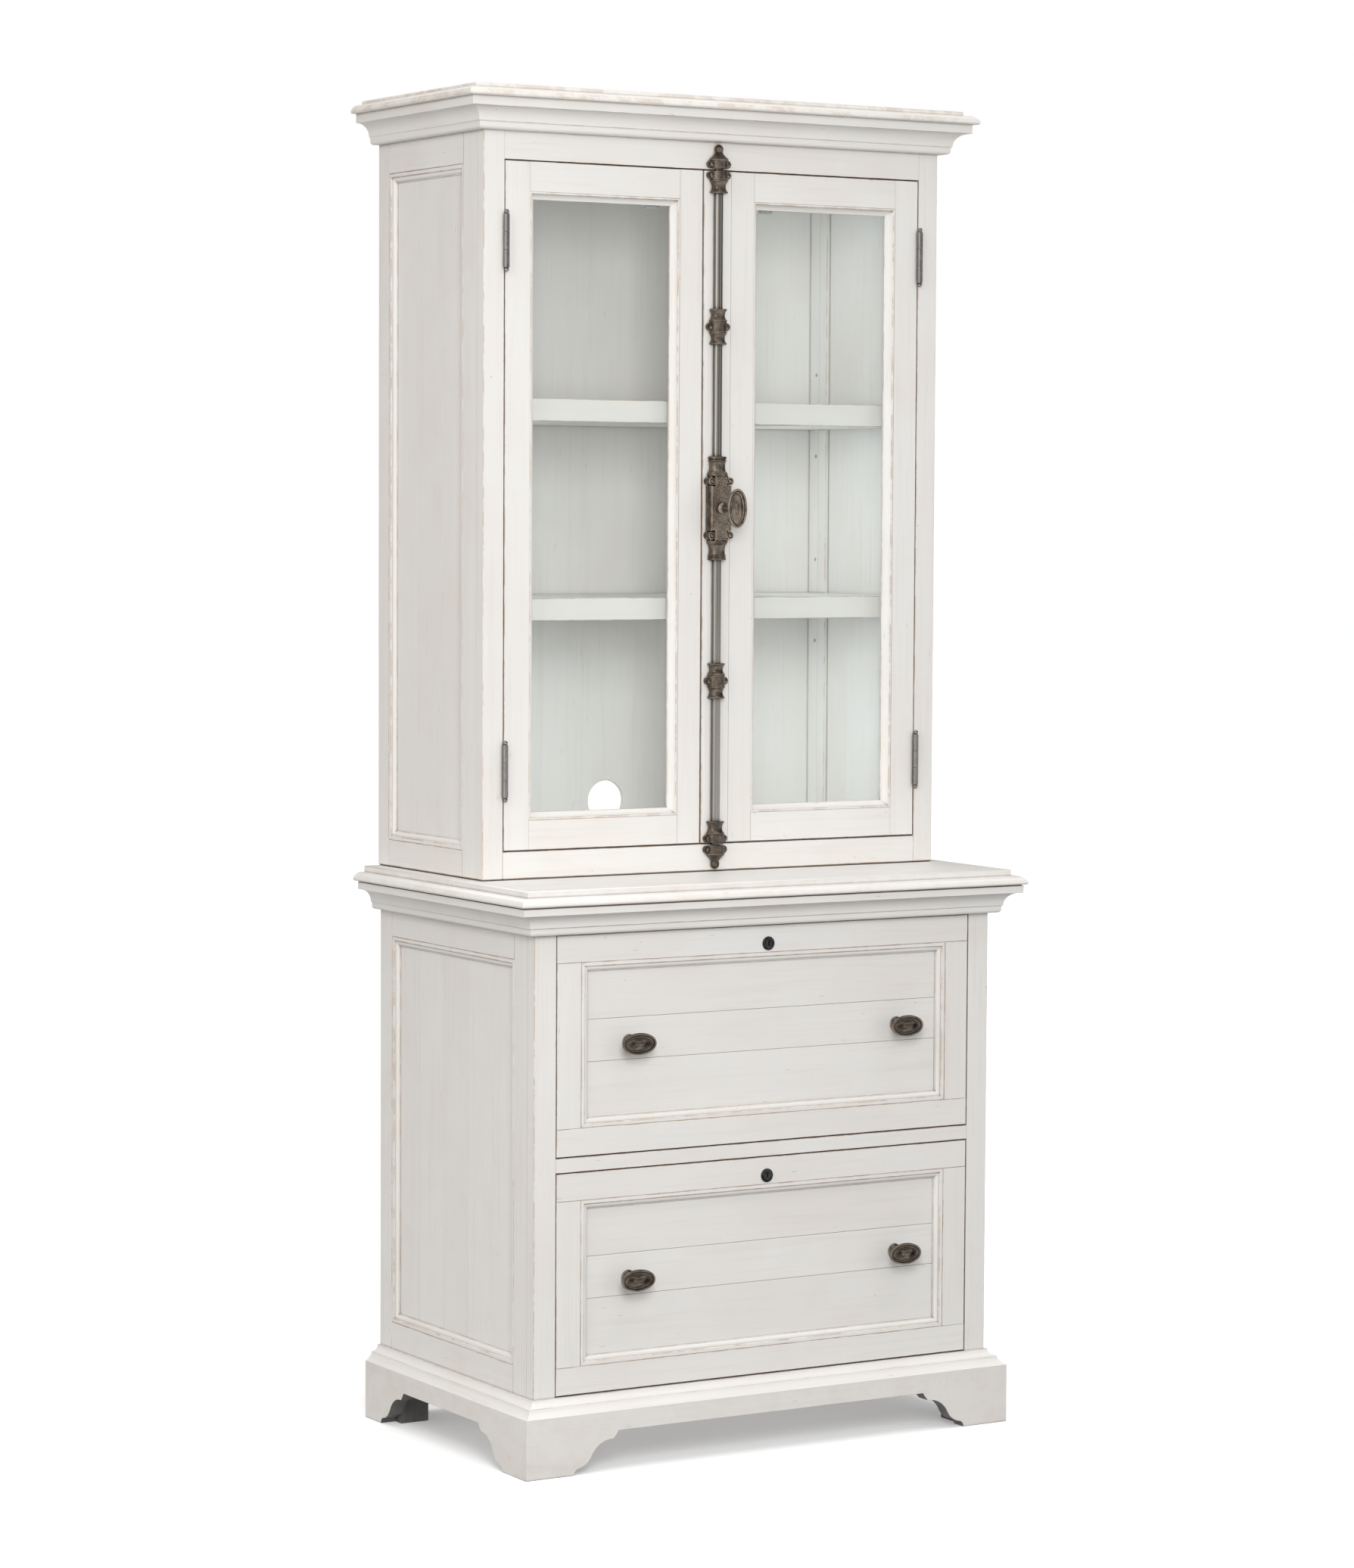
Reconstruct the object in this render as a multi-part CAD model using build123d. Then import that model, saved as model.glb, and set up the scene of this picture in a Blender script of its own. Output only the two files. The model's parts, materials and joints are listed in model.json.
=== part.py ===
from build123d import *
import math
import os

# Two-part bookcase: a glazed two-door hutch with a cremone bolt, standing on a base with two file drawers.
# Millimetres. X is to the right, Y to the rear and Z up.
# The origin is on the floor under the middle of the object.

os.makedirs("parts", exist_ok=True)

# ---------------------------------------------------------------- overall sizes
HEIGHT = 1981.0
DEPTH = 529.0
REAR = DEPTH / 2
BOARD = 20.0            # thickness of the frame boards

# base cabinet
BASE_HALF = 390.0
BASE_FRONT = -221.0
BASE_REAR = 259.0
BASE_TOP = 839.0
SLAB_BOTTOM = 817.0
BODY_TOP = 773.5        # where the cove moulding under the base top starts
BODY_BOTTOM = 109.5     # top of the plinth moulding
PLINTH_TOP = 86.5
PLINTH_THICK = 25.0
ARCH_TOP = 58.0
FRONT_FOOT = 78.0       # flat width of each foot on the front board
SIDE_FEET = (70.0, 52.0)        # the same on a side board, front and rear
REAR_FOOT = 50.0
CORNER_BLOCK = 46.0
TOP_OVERHANG = 43.5

# hutch
HUTCH_HALF = 391.0
HUTCH_FRONT = -66.5
FRIEZE_TOP = 1917.0     # where the cornice moulding starts
CORNICE_BOTTOM = 1961.5
CORNICE_OVERHANG = 47.0
OPENING_HALF = 357.5    # half width of the doorway
DOORWAY = (880.0, 1876.5)
BACK_FACE = 257.0       # front face of the hutch back panel
CABLE_HOLE_R = 31.5
CABLE_HOLE_Z = 925.0

# base openings for the drawers
STILE_EDGE = 354.6      # inner edge of the base face-frame stiles
MID_RAIL = (432.0, 453.0)
DRAWERS = {"upper": (454.6, 771.9), "lower": (111.1, 430.4)}
DRAWER_HALF = 353.2
DRAWER_RAIL = 40.0
DRAWER_STILE = 40.2
LOCK_DROP = 27.0        # lock centre below the top edge of the drawer front
KNOB_X = 230.5
KNOB_DROP = 159.0       # knob centre below the top edge of the drawer front
KNOB_HALF = (28.0, 16.0)        # half width and half height of the oval
LOCK_CASE_R = 8.5
LOCK_FLANGE_R = 10.0
LOCK_PLUG_R = 6.0

# recessed panels
PANEL_RECESS = 8.0
HUTCH_PANEL_THICK = 6.0
BASE_PANEL_THICK = 9.0
BASE_PANEL = (-161.0, 220.0, 150.0, 734.5)      # y and z limits of the frame opening in a base side
HUTCH_PANEL = (-4.0, 230.0, 880.0, 1872.0)      # the same for a hutch side

# shelves
SHELF_THICK = 32.5
SHELF_BOTTOMS = (1213.5, 1504.0)
PIN_ROWS = (1170.5, 1234.5, 1298.5, 1462.0, 1526.0, 1590.0)
PIN_COLUMNS = (-22.0, 238.0)
PIN_R = 2.95
PIN_HOLE_R = 3.0
PIN_HOLE_DEPTH = 12.0
PIN_LENGTH = 22.0       # half in the hole and half under the shelf
SHELF_FRONT = -34.0

# doors
DOOR_THICK = 22.0
DOOR_BOTTOM = 882.0
DOOR_TOP = 1875.0
DOOR_OUTER = 356.0
DOOR_STILE_OUTER = 315.0
DOOR_STILE_INNER = 64.0
LEFT_MEETING = 25.2     # the left door's free edge, left of centre
ASTRAGAL = (-22.8, 24.0)
DOOR_RAILS = (925.0, 1832.0)
BEAD = 11.0
BEAD_DEPTH = 14.0
GLASS_THICK = 3.5

# hinges
HINGE_X = 356.75
HINGE_Y = HUTCH_FRONT - 6.0
HINGE_Z = (997.5, 1760.0)
HINGE_HEIGHT = 77.0
KNUCKLE_R = 4.0
HINGE_PIN_R = 2.0
HINGE_BORE_R = 2.05
LEAF_THICK = 1.3
LEAF_GAP = 0.45         # from the pin axis to the near face of a leaf

# cremone bolt
BOLT_Z = 1378.5         # centre of the lock case and its knob
ROD_R = 6.9
ROD_BORE_R = 7.2
ROD_Y = HUTCH_FRONT - 3.2
ROD_BACK = HUTCH_FRONT - 0.5
ROD_TIPS = (878.9, 1877.3)
ROD_TRAVEL = 12.0
TEETH = 12
RACK_PITCH = 4 * ROD_TRAVEL / TEETH             # a quarter turn moves a rod by its travel
PINION_R = TEETH * RACK_PITCH / (2 * math.pi)
PRESSURE = math.radians(25)
ADDENDUM = 1.0
DEDENDUM = 1.4
BACKLASH = 0.3          # taken off every tooth
CASE_HALF = 48.0        # half height of the lock case without its collars
CASE_DEPTH = 17.5
CASE_BASE = (15.0, 11.0)           # half width and depth of its base
CASE_WIDE = 17.4        # half width of its raised middle
CASE_STEP = 33.0        # height above and below the knob where the raised part narrows
CASE_NECK = 10.5        # half width of the raised part beyond that
CASE_CAVITY = (13.2, 9.3)          # half width and depth of the hollow behind
STUD_R = 5.7
STUD_SPOT = (15.5, 40.0)           # how far the studs stand beside and above or below the knob
STUD_DEPTH = 13.2
EAR_R = 5.5
EAR_X = 14.0
EAR_THICK = 6.0
BOLT_KNOB_HALF = (16.5, 29.0)

# drawer boxes and slides
BOX_HALF = 341.5
BOX_WALL = 12.0
BOX_REAR = 225.0
BOX_BOTTOM_LIFT = 20.0
BOX_HEIGHT = 230.0
SLIDE_LIFT = 135.0      # slide centre above the lower edge of the drawer front
SLIDE_Y = (-199.0, 201.0)
SLIDE_METAL = 1.4
OUTER_LIP_X = 345.6
MIDDLE_WEB_X = 350.2
MIDDLE_LIP_X = 344.2
INNER_LIP_X = 348.6
FILE_RAIL_Y = (-145.0, 165.0)
FILE_RAIL_HEIGHT = 14.0
FILE_RAIL_THICK = 2.0


# ---------------------------------------------------------------- helpers
def save(node, *solids):
    """Write one sub-part, made of one or several solids."""
    shape = solids[0] if len(solids) == 1 else Compound(list(solids))
    export_step(shape, f"parts/{node}.step")


def solids_of(*shapes):
    """All the solids in some shapes, as a plain list."""
    return [solid for shape in shapes for solid in shape.solids()]


def board(x, y, z):
    """Rectangular board between the limits x, y and z."""
    size = Box(x[1] - x[0], y[1] - y[0], z[1] - z[0])
    return Pos((x[0] + x[1]) / 2, (y[0] + y[1]) / 2, (z[0] + z[1]) / 2) * size


def with_mirror(shapes):
    """The shapes and their mirror images across the middle plane."""
    return list(shapes) + [mirror(shape, about=Plane.YZ) for shape in shapes]


def outline(*stops):
    """Closed flat face. A stop is a corner (x, y), or ((mx, my), (x, y)) for an arc through (mx, my)."""
    edges = []
    here = stops[0]
    for stop in stops[1:] + stops[:1]:
        if isinstance(stop[0], tuple):
            edges.append(ThreePointArc(here, stop[0], stop[1]))
            here = stop[1]
        else:
            edges.append(Line(here, stop))
            here = stop
    return make_face(edges)


def rod_along_y(radius, x, z, front, rear):
    """Cylinder along Y between front and rear."""
    return Pos(x, (front + rear) / 2, z) * Rot(90, 0, 0) * Cylinder(radius, rear - front)


def mitred_run(profile, middle, out, up, half, grow):
    """Straight strip of moulding.

    The profile's x runs along `out` and its y along `up`. `half` is half the strip's length on its
    inner line, and `grow` says how each end widens with distance: 1 outside mitre, -1 inside, 0 square.
    """
    reach = 60.0
    out, up, middle = Vector(*out), Vector(*up), Vector(*middle)
    along = out.cross(up)
    section = Plane(origin=middle, x_dir=out, z_dir=along) * profile
    strip = extrude(section, amount=half + reach, both=True)
    start, end = grow
    limits = outline(
        (-1.0, -(half - start)),
        (reach, -(half + start * reach)),
        (reach, half + end * reach),
        (-1.0, half - end),
    )
    block = extrude(Plane(origin=middle, x_dir=out, z_dir=-up) * limits, amount=reach, both=True)
    return strip & block


def moulding_round(profile, half, front, rear, z):
    """Front strip and two side strips, mitred at the front corners and square at the rear."""
    middle = (front + rear) / 2
    depth = (rear - front) / 2
    return [
        mitred_run(profile, (0, front, z), (0, -1, 0), (0, 0, 1), half, (1, 1)),
        mitred_run(profile, (half, middle, z), (1, 0, 0), (0, 0, 1), depth, (0, 1)),
        mitred_run(profile, (-half, middle, z), (-1, 0, 0), (0, 0, 1), depth, (1, 0)),
    ]


def moulding_inside(profile, centre, across, upward, normal, half_across, half_up):
    """Four strips mitred round the inside of a rectangular frame, growing towards its centre."""
    centre, across, upward = Vector(*centre), Vector(*across), Vector(*upward)
    strips = []
    for side in (1, -1):
        strips.append(mitred_run(profile, centre + across * side * half_across,
                                 across * -side, normal, half_up, (-1, -1)))
        strips.append(mitred_run(profile, centre + upward * side * half_up,
                                 upward * -side, normal, half_across, (-1, -1)))
    return strips


def planks(origin, across, along, edges, half_length, thick):
    """Row of planks with small V joints on the outer face, split at the given edges."""
    groove = 0.7
    plane = Plane(origin=origin, x_dir=across, z_dir=along)
    row = []
    for low, high in zip(edges, edges[1:]):
        face = outline((low + groove, 0), (high - groove, 0), (high, groove), (high, thick),
                       (low, thick), (low, groove))
        row.append(extrude(plane * face, amount=half_length, both=True))
    return row


# ---------------------------------------------------------------- moulding profiles
def cove_profile(height):
    """Bead, cove and fillet under an overhanging top."""
    radius = 19.5
    foot = (16.5, 11.5)
    head = (foot[0] + radius, foot[1] + radius)
    diagonal = radius * math.sqrt(0.5)
    middle = (head[0] - diagonal, foot[1] + diagonal)
    return outline((0, 0), (9.5, 0), ((13.0, 1.5), (14.5, 5.0)), (14.5, 10.0), foot, (middle, head),
                   (38.0, head[1]), (38.0, height), (0, height))


def plinth_profile():
    """Two hollow steps between the plinth and the cabinet body."""
    top = BODY_BOTTOM - PLINTH_TOP
    return outline((0, 0), (PLINTH_THICK, 0), ((18.6, 4.7), (14.5, 11.5)), (14.5, 13.0),
                   ((8.0, 15.4), (4.0, 21.5)), (4.0, top), (0, top))


def panel_profile():
    """Flat fillet and ovolo that step down from a frame's face to its recessed panel."""
    return outline((0, 0), (0, 7.4), (0.6, PANEL_RECESS), (5.2, PANEL_RECESS), (6.0, 7.2), (6.4, 5.6),
                   ((10.9, 4.6), (12.6, 1.4)), (14.0, 1.4), (14.0, 0))


def bead_profile():
    """Glazing bead: a short flat, then a hollow down to the glass."""
    return outline((0, 0), (0, 13.6), (0.4, BEAD_DEPTH), (2.6, BEAD_DEPTH), (3.2, 13.0),
                   ((5.4, 6.4), (BEAD - 0.6, 3.0)), (BEAD, 2.4), (BEAD, 0))


# ---------------------------------------------------------------- plinth
def foot_stops(foot, length, flip):
    """Lower edge of a plinth board, from its outer end at `length` in to the arch."""
    shape = [(0, 0), (foot, 0), ((foot + 1.8, 5.8), (foot + 5.5, 9.0)),
             ((foot + 19.5, 14.0), (foot + 29.0, 25.0)), ((foot + 43.0, 41.0), (foot + 65.0, 46.5)),
             ((foot + 70.5, 53.0), (foot + 74.0, ARCH_TOP))]

    def place(point):
        return (flip * (length - point[0]), point[1])

    return [(place(s[0]), place(s[1])) if isinstance(s[0], tuple) else place(s) for s in shape]


def backwards(stops):
    """The same stops walked the other way."""
    ends = [s[1] if isinstance(s[0], tuple) else s for s in stops]
    walked = [ends[-1]]
    for index in range(len(stops) - 1, 0, -1):
        target = ends[index - 1]
        stop = stops[index]
        walked.append((stop[0], target) if isinstance(stop[0], tuple) else target)
    return walked


def plinth_face(left_foot, right_foot, half):
    """Outline of a plinth board with a bracket foot at each end."""
    left = foot_stops(left_foot, half, -1)
    right = foot_stops(right_foot, half, 1)
    return outline(*left, *backwards(right), (half, PLINTH_TOP), (-half, PLINTH_TOP))


def make_plinth():
    outer = BASE_HALF + PLINTH_THICK
    front = BASE_FRONT - PLINTH_THICK
    middle = (front + BASE_REAR) / 2
    half_depth = (BASE_REAR - front) / 2

    front_plane = Plane((0, BASE_FRONT, 0), x_dir=(1, 0, 0), z_dir=(0, -1, 0))
    face = front_plane * plinth_face(FRONT_FOOT, FRONT_FOOT, outer)
    corner_cut = outline((-outer, front), (outer, front), (BASE_HALF, BASE_FRONT), (-BASE_HALF, BASE_FRONT))
    front_board = extrude(face, amount=PLINTH_THICK) & extrude(corner_cut, amount=PLINTH_TOP)

    side_plane = Plane((BASE_HALF, middle, 0), x_dir=(0, 1, 0), z_dir=(1, 0, 0))
    face = side_plane * plinth_face(*SIDE_FEET, half_depth)
    corner_cut = outline((BASE_HALF, BASE_FRONT), (outer, front), (outer, BASE_REAR),
                         (BASE_HALF, BASE_REAR))
    side_board = extrude(face, amount=PLINTH_THICK) & extrude(corner_cut, amount=PLINTH_TOP)

    rear_plane = Plane((0, BASE_REAR, 0), x_dir=(1, 0, 0), z_dir=(0, -1, 0))
    face = rear_plane * plinth_face(REAR_FOOT, REAR_FOOT, BASE_HALF)
    rear_board = extrude(face, amount=PLINTH_THICK)

    save("plinth_boards", *solids_of(front_board, *with_mirror([side_board]), rear_board))
    save("plinth_moulding",
         *solids_of(*moulding_round(plinth_profile(), BASE_HALF, BASE_FRONT, BASE_REAR, PLINTH_TOP)))

    x = (BASE_HALF - CORNER_BLOCK, BASE_HALF)
    rear_face = BASE_REAR - PLINTH_THICK
    blocks = [board(x, (BASE_FRONT, BASE_FRONT + CORNER_BLOCK), (0, PLINTH_TOP)),
              board(x, (rear_face - CORNER_BLOCK, rear_face), (0, PLINTH_TOP))]
    save("corner_blocks", *solids_of(*with_mirror(blocks)))


# ---------------------------------------------------------------- panelled sides
def side_boards(half, panel, front, rear, bottom, top):
    """Stiles and rails of the right-hand side."""
    x = (half - BOARD, half)
    y0, y1, z0, z1 = panel
    return [board(x, (front, y0), (bottom, top)), board(x, (y1, rear), (bottom, top)),
            board(x, (y0, y1), (bottom, z0)), board(x, (y0, y1), (z1, top))]


def side_panel(half, panel, count, thick):
    """Planked panel of the right-hand side."""
    y0, y1, z0, z1 = panel
    step = (y1 - y0) / count
    edges = [step * index for index in range(count + 1)]
    return planks((half - PANEL_RECESS, y0, (z0 + z1) / 2), (0, 1, 0), (0, 0, 1), edges,
                  (z1 - z0) / 2, thick)


def side_moulding(half, panel):
    y0, y1, z0, z1 = panel
    centre = (half - PANEL_RECESS, (y0 + y1) / 2, (z0 + z1) / 2)
    return moulding_inside(panel_profile(), centre, (0, 1, 0), (0, 0, 1), (1, 0, 0),
                           (y1 - y0) / 2, (z1 - z0) / 2)


def make_sides():
    base = side_boards(BASE_HALF, BASE_PANEL, BASE_FRONT + BOARD, BASE_REAR, PLINTH_TOP, SLAB_BOTTOM)
    hutch = side_boards(HUTCH_HALF, HUTCH_PANEL, HUTCH_FRONT + BOARD, REAR, BASE_TOP, CORNICE_BOTTOM)
    inner = HUTCH_HALF - BOARD
    for stile, column in zip((0, 1), PIN_COLUMNS):
        for row in PIN_ROWS:
            place = Pos(inner + PIN_HOLE_DEPTH / 2, column, row) * Rot(0, 90, 0)
            hutch[stile] -= place * Cylinder(PIN_HOLE_R, PIN_HOLE_DEPTH)
    width = 21.0
    x = (inner, HUTCH_HALF - PANEL_RECESS - HUTCH_PANEL_THICK)
    y0, y1, z0, z1 = HUTCH_PANEL
    battens = [board(x, (y0, y0 + width), (z0, z1)), board(x, (y1 - width, y1), (z0, z1))]
    save("base_side_frames", *solids_of(*with_mirror(base)))
    save("hutch_side_frames", *solids_of(*with_mirror(hutch + battens)))

    panels = side_panel(BASE_HALF, BASE_PANEL, 5, BASE_PANEL_THICK)
    panels += side_panel(HUTCH_HALF, HUTCH_PANEL, 3, HUTCH_PANEL_THICK)
    save("side_panels", *solids_of(*with_mirror(panels)))
    save("side_mouldings", *solids_of(*with_mirror(side_moulding(BASE_HALF, BASE_PANEL)),
                                      *with_mirror(side_moulding(HUTCH_HALF, HUTCH_PANEL))))


# ---------------------------------------------------------------- base cabinet
def edged_slab(half, front, rear, bottom, top):
    """Top board with an ovolo and a fillet on its front and side edges and a square rear edge."""
    thick = top - bottom

    def half_face(nose, back):
        return outline((back, 0), (nose - 2.5, 0), ((nose - 0.7, 1.0), (nose, 3.2)),
                       ((nose - 5.2, 10.4), (nose - 15.5, 12.6)), (nose - 19.0, 12.6),
                       (nose - 19.0, thick - 1.2), (nose - 20.2, thick), (back, thick))

    across = half_face(half, 0)
    across += mirror(across, about=Plane.YZ)
    rear_plane = Plane((0, rear, bottom), x_dir=(1, 0, 0), z_dir=(0, -1, 0))
    across = extrude(rear_plane * across, amount=rear - front)
    along = Plane((0, 0, bottom), x_dir=(0, -1, 0), z_dir=(-1, 0, 0)) * half_face(-front, -rear)
    return across & extrude(along, amount=half, both=True)


def make_base():
    y = (BASE_FRONT, BASE_FRONT + BOARD)
    frame = with_mirror([board((STILE_EDGE, BASE_HALF), y, (PLINTH_TOP, SLAB_BOTTOM))])
    for z in ((PLINTH_TOP, BODY_BOTTOM), MID_RAIL, (BODY_TOP, SLAB_BOTTOM)):
        frame.append(board((-STILE_EDGE, STILE_EDGE), y, z))
    save("base_face_frame", *solids_of(*frame))

    inner = BASE_HALF - BOARD
    back_face = BASE_REAR - 8.0
    save("base_bottom", board((-inner, inner), (y[1], back_face), (BODY_BOTTOM - BOARD, BODY_BOTTOM)))
    save("base_back", board((-inner, inner), (back_face, BASE_REAR), (PLINTH_TOP, SLAB_BOTTOM)))

    spacers = []
    for low, high in DRAWERS.values():
        z = low + SLIDE_LIFT
        spacers.append(board((STILE_EDGE, inner), (y[1], back_face), (z - 30, z + 30)))
    save("slide_spacers", *solids_of(*with_mirror(spacers)))

    save("base_cove_moulding",
         *solids_of(*moulding_round(cove_profile(SLAB_BOTTOM - BODY_TOP), BASE_HALF, BASE_FRONT,
                                    BASE_REAR, BODY_TOP)))
    save("base_top", edged_slab(BASE_HALF + TOP_OVERHANG, BASE_FRONT - TOP_OVERHANG, REAR,
                                SLAB_BOTTOM, BASE_TOP))


# ---------------------------------------------------------------- drawer slides
def slide_channel(web_x, lip_x, half_height, lip_inward):
    """Channel of a drawer slide on the right-hand side, at height zero. Its web stands at web_x."""
    web = board(sorted((web_x, web_x + SLIDE_METAL)), SLIDE_Y, (-half_height, half_height))
    near = web_x if lip_inward else web_x + SLIDE_METAL
    lips = [board(sorted((near, lip_x)), SLIDE_Y, (half_height - SLIDE_METAL, half_height)),
            board(sorted((near, lip_x)), SLIDE_Y, (-half_height, SLIDE_METAL - half_height))]
    return web + lips[0] + lips[1]


def file_rail(y, top):
    """Flat steel bar across a drawer box. It hooks over the top edges of the box sides."""
    half = BOX_HALF + FILE_RAIL_THICK
    low = top + FILE_RAIL_THICK - FILE_RAIL_HEIGHT
    bar = board((-half, half), (y, y + FILE_RAIL_THICK), (low, top + FILE_RAIL_THICK))
    slot = board((BOX_HALF - BOX_WALL, BOX_HALF), (y - 1, y + FILE_RAIL_THICK + 1), (low - 1, top))
    for side in with_mirror([slot]):
        bar -= side
    return bar


def make_slides():
    outer = slide_channel(STILE_EDGE - SLIDE_METAL, OUTER_LIP_X, 22.5, True)
    middle = slide_channel(MIDDLE_WEB_X, MIDDLE_LIP_X, 19.8, True)
    inner = slide_channel(BOX_HALF, INNER_LIP_X, 16.0, False)
    fixed = []
    for name, (low, high) in DRAWERS.items():
        lift = Pos(0, 0, low + SLIDE_LIFT)
        fixed += with_mirror([lift * outer])
        save(f"{name}_slide_middles", *solids_of(*with_mirror([lift * middle])))
        box_top = low + BOX_BOTTOM_LIFT + BOX_HEIGHT
        steel = with_mirror([lift * inner]) + [file_rail(y, box_top) for y in FILE_RAIL_Y]
        save(f"{name}_drawer_steel", *solids_of(*steel))
    save("slide_outers", *solids_of(*fixed))


# ---------------------------------------------------------------- drawers
def drawer_knob(x, z, seat):
    """Oval knob on a turned foot. `seat` is the y of the surface that it is screwed to."""
    foot = rod_along_y(9.0, x, z, seat - 3.0, seat) + rod_along_y(6.0, x, z, seat - 22.0, seat - 3.0)

    def oval(ahead, wide, high):
        return Plane((x, seat - ahead, z), x_dir=(1, 0, 0), z_dir=(0, -1, 0)) * Ellipse(wide, high)

    back = loft([oval(19.0, 12.0, 8.0), oval(26.0, *KNOB_HALF)])
    rim = extrude(oval(26.0, *KNOB_HALF), amount=4.0)
    face = loft([oval(30.0, 26.4, 14.4), oval(33.0, 17.0, 9.0)])
    return foot + back + rim + face


def make_drawer(name, low, high):
    front, behind = BASE_FRONT, BASE_FRONT + BOARD
    panel_z = (low + DRAWER_RAIL, high - DRAWER_RAIL)
    panel_half = DRAWER_HALF - DRAWER_STILE
    lock_z = high - LOCK_DROP

    top_rail = board((-DRAWER_HALF, DRAWER_HALF), (front, behind), (panel_z[1], high))
    top_rail -= rod_along_y(LOCK_CASE_R, 0, lock_z, front - 1, behind + 1)
    frame = [top_rail, board((-DRAWER_HALF, DRAWER_HALF), (front, behind), (low, panel_z[0]))]
    frame += with_mirror([board((panel_half, DRAWER_HALF), (front, behind), panel_z)])
    save(f"{name}_drawer_frame", *solids_of(*frame))

    seat = front + PANEL_RECESS
    middle = (panel_z[0] + panel_z[1]) / 2
    half_height = (panel_z[1] - panel_z[0]) / 2
    edges = [-half_height, half_height - 144.0, half_height - 83.0, half_height]
    boards = planks((0, seat, middle), (0, 0, 1), (-1, 0, 0), edges, panel_half, 9.0)
    save(f"{name}_drawer_panel", *solids_of(*boards))
    strips = moulding_inside(panel_profile(), (0, seat, middle), (1, 0, 0), (0, 0, 1), (0, -1, 0),
                             panel_half, half_height)
    save(f"{name}_drawer_moulding", *solids_of(*strips))

    z = (low + BOX_BOTTOM_LIFT, low + BOX_BOTTOM_LIFT + BOX_HEIGHT)
    inner = BOX_HALF - BOX_WALL
    floor = z[0] + 12.0
    box = with_mirror([board((inner, BOX_HALF), (behind, BOX_REAR), z)])
    box.append(board((-inner, inner), (behind, behind + BOX_WALL), z))
    box.append(board((-inner, inner), (BOX_REAR - BOX_WALL, BOX_REAR), z))
    box.append(board((-inner, inner), (behind + BOX_WALL, BOX_REAR - BOX_WALL), (floor, floor + 6.0)))
    save(f"{name}_drawer_box", *solids_of(*box))

    knobs = [drawer_knob(x, high - KNOB_DROP, seat) for x in (-KNOB_X, KNOB_X)]
    save(f"{name}_drawer_knobs", *solids_of(*knobs))

    cam_y = behind + 4.0
    case = rod_along_y(LOCK_FLANGE_R, 0, lock_z, front - 1.2, front)
    case += rod_along_y(LOCK_CASE_R, 0, lock_z, front, cam_y - 0.6)
    case -= rod_along_y(LOCK_PLUG_R + 0.06, 0, lock_z, front - 2, cam_y)
    save(f"{name}_lock_case", case)
    plug = rod_along_y(LOCK_PLUG_R, 0, lock_z, front - 1.6, cam_y)
    plug -= board((-0.9, 0.9), (front - 2, front + 8), (lock_z - 3.4, lock_z + 3.4))
    cam = board((-7.0, 36.0), (cam_y, cam_y + 2.4), (lock_z - 6.0, lock_z + 6.0))
    save(f"{name}_lock_plug", plug + cam)


# ---------------------------------------------------------------- hutch
def make_hutch():
    y = (HUTCH_FRONT, HUTCH_FRONT + BOARD)
    stile = board((OPENING_HALF, HUTCH_HALF), y, (BASE_TOP, CORNICE_BOTTOM))
    for z in HINGE_Z:
        half = HINGE_HEIGHT / 2 + 0.3
        stile -= board((OPENING_HALF - 1, HINGE_X + LEAF_GAP + LEAF_THICK + 0.1),
                       (y[0] - 1, y[0] + 18.3), (z - half, z + half))
    frame = with_mirror([stile])
    frame.append(board((-OPENING_HALF, OPENING_HALF), y, (BASE_TOP, DOORWAY[0])))
    frame.append(board((-OPENING_HALF, OPENING_HALF), y, (DOORWAY[1], CORNICE_BOTTOM)))
    save("hutch_face_frame", *solids_of(*frame))

    inner = HUTCH_HALF - BOARD
    floor = board((-inner, inner), (y[1], BACK_FACE), (DOORWAY[0] - BOARD, DOORWAY[0]))
    ceiling = board((-inner, inner), (y[1], BACK_FACE), (DOORWAY[1], DOORWAY[1] + BOARD))
    save("hutch_floor_and_ceiling", floor, ceiling)
    back = board((-inner, inner), (BACK_FACE, REAR), (BASE_TOP, CORNICE_BOTTOM))
    back -= rod_along_y(CABLE_HOLE_R, 0, CABLE_HOLE_Z, BACK_FACE - 1, REAR + 1)
    save("hutch_back", back)

    save("cornice_moulding",
         *solids_of(*moulding_round(cove_profile(CORNICE_BOTTOM - FRIEZE_TOP), HUTCH_HALF, HUTCH_FRONT,
                                    REAR, FRIEZE_TOP)))
    save("cornice_top", edged_slab(HUTCH_HALF + CORNICE_OVERHANG, HUTCH_FRONT - CORNICE_OVERHANG, REAR,
                                   CORNICE_BOTTOM, HEIGHT))


def make_shelves():
    half = HUTCH_HALF - BOARD - 1.5
    notch = 13.0
    pins = []
    for name, bottom, row in zip(("lower", "upper"), SHELF_BOTTOMS, (PIN_ROWS[1], PIN_ROWS[4])):
        shelf = board((-half, half), (SHELF_FRONT, BACK_FACE - 3.0), (bottom, bottom + SHELF_THICK))
        for column in PIN_COLUMNS:
            cut = board((half - notch, half + 1), (column - 4.0, column + 4.0),
                        (bottom - 1, row + PIN_R + 0.05))
            shelf = shelf - cut - mirror(cut, about=Plane.YZ)
            place = Pos(HUTCH_HALF - BOARD, column, row) * Rot(0, 90, 0)
            pins.append(place * Cylinder(PIN_R, PIN_LENGTH))
        save(f"{name}_shelf", shelf)
    save("shelf_pins", *solids_of(*with_mirror(pins)))


# ---------------------------------------------------------------- hinges and catches
def knuckle(z, height):
    ring = Cylinder(KNUCKLE_R, height) - Cylinder(HINGE_BORE_R, height + 1)
    return Pos(HINGE_X, HINGE_Y, z) * ring


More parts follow.
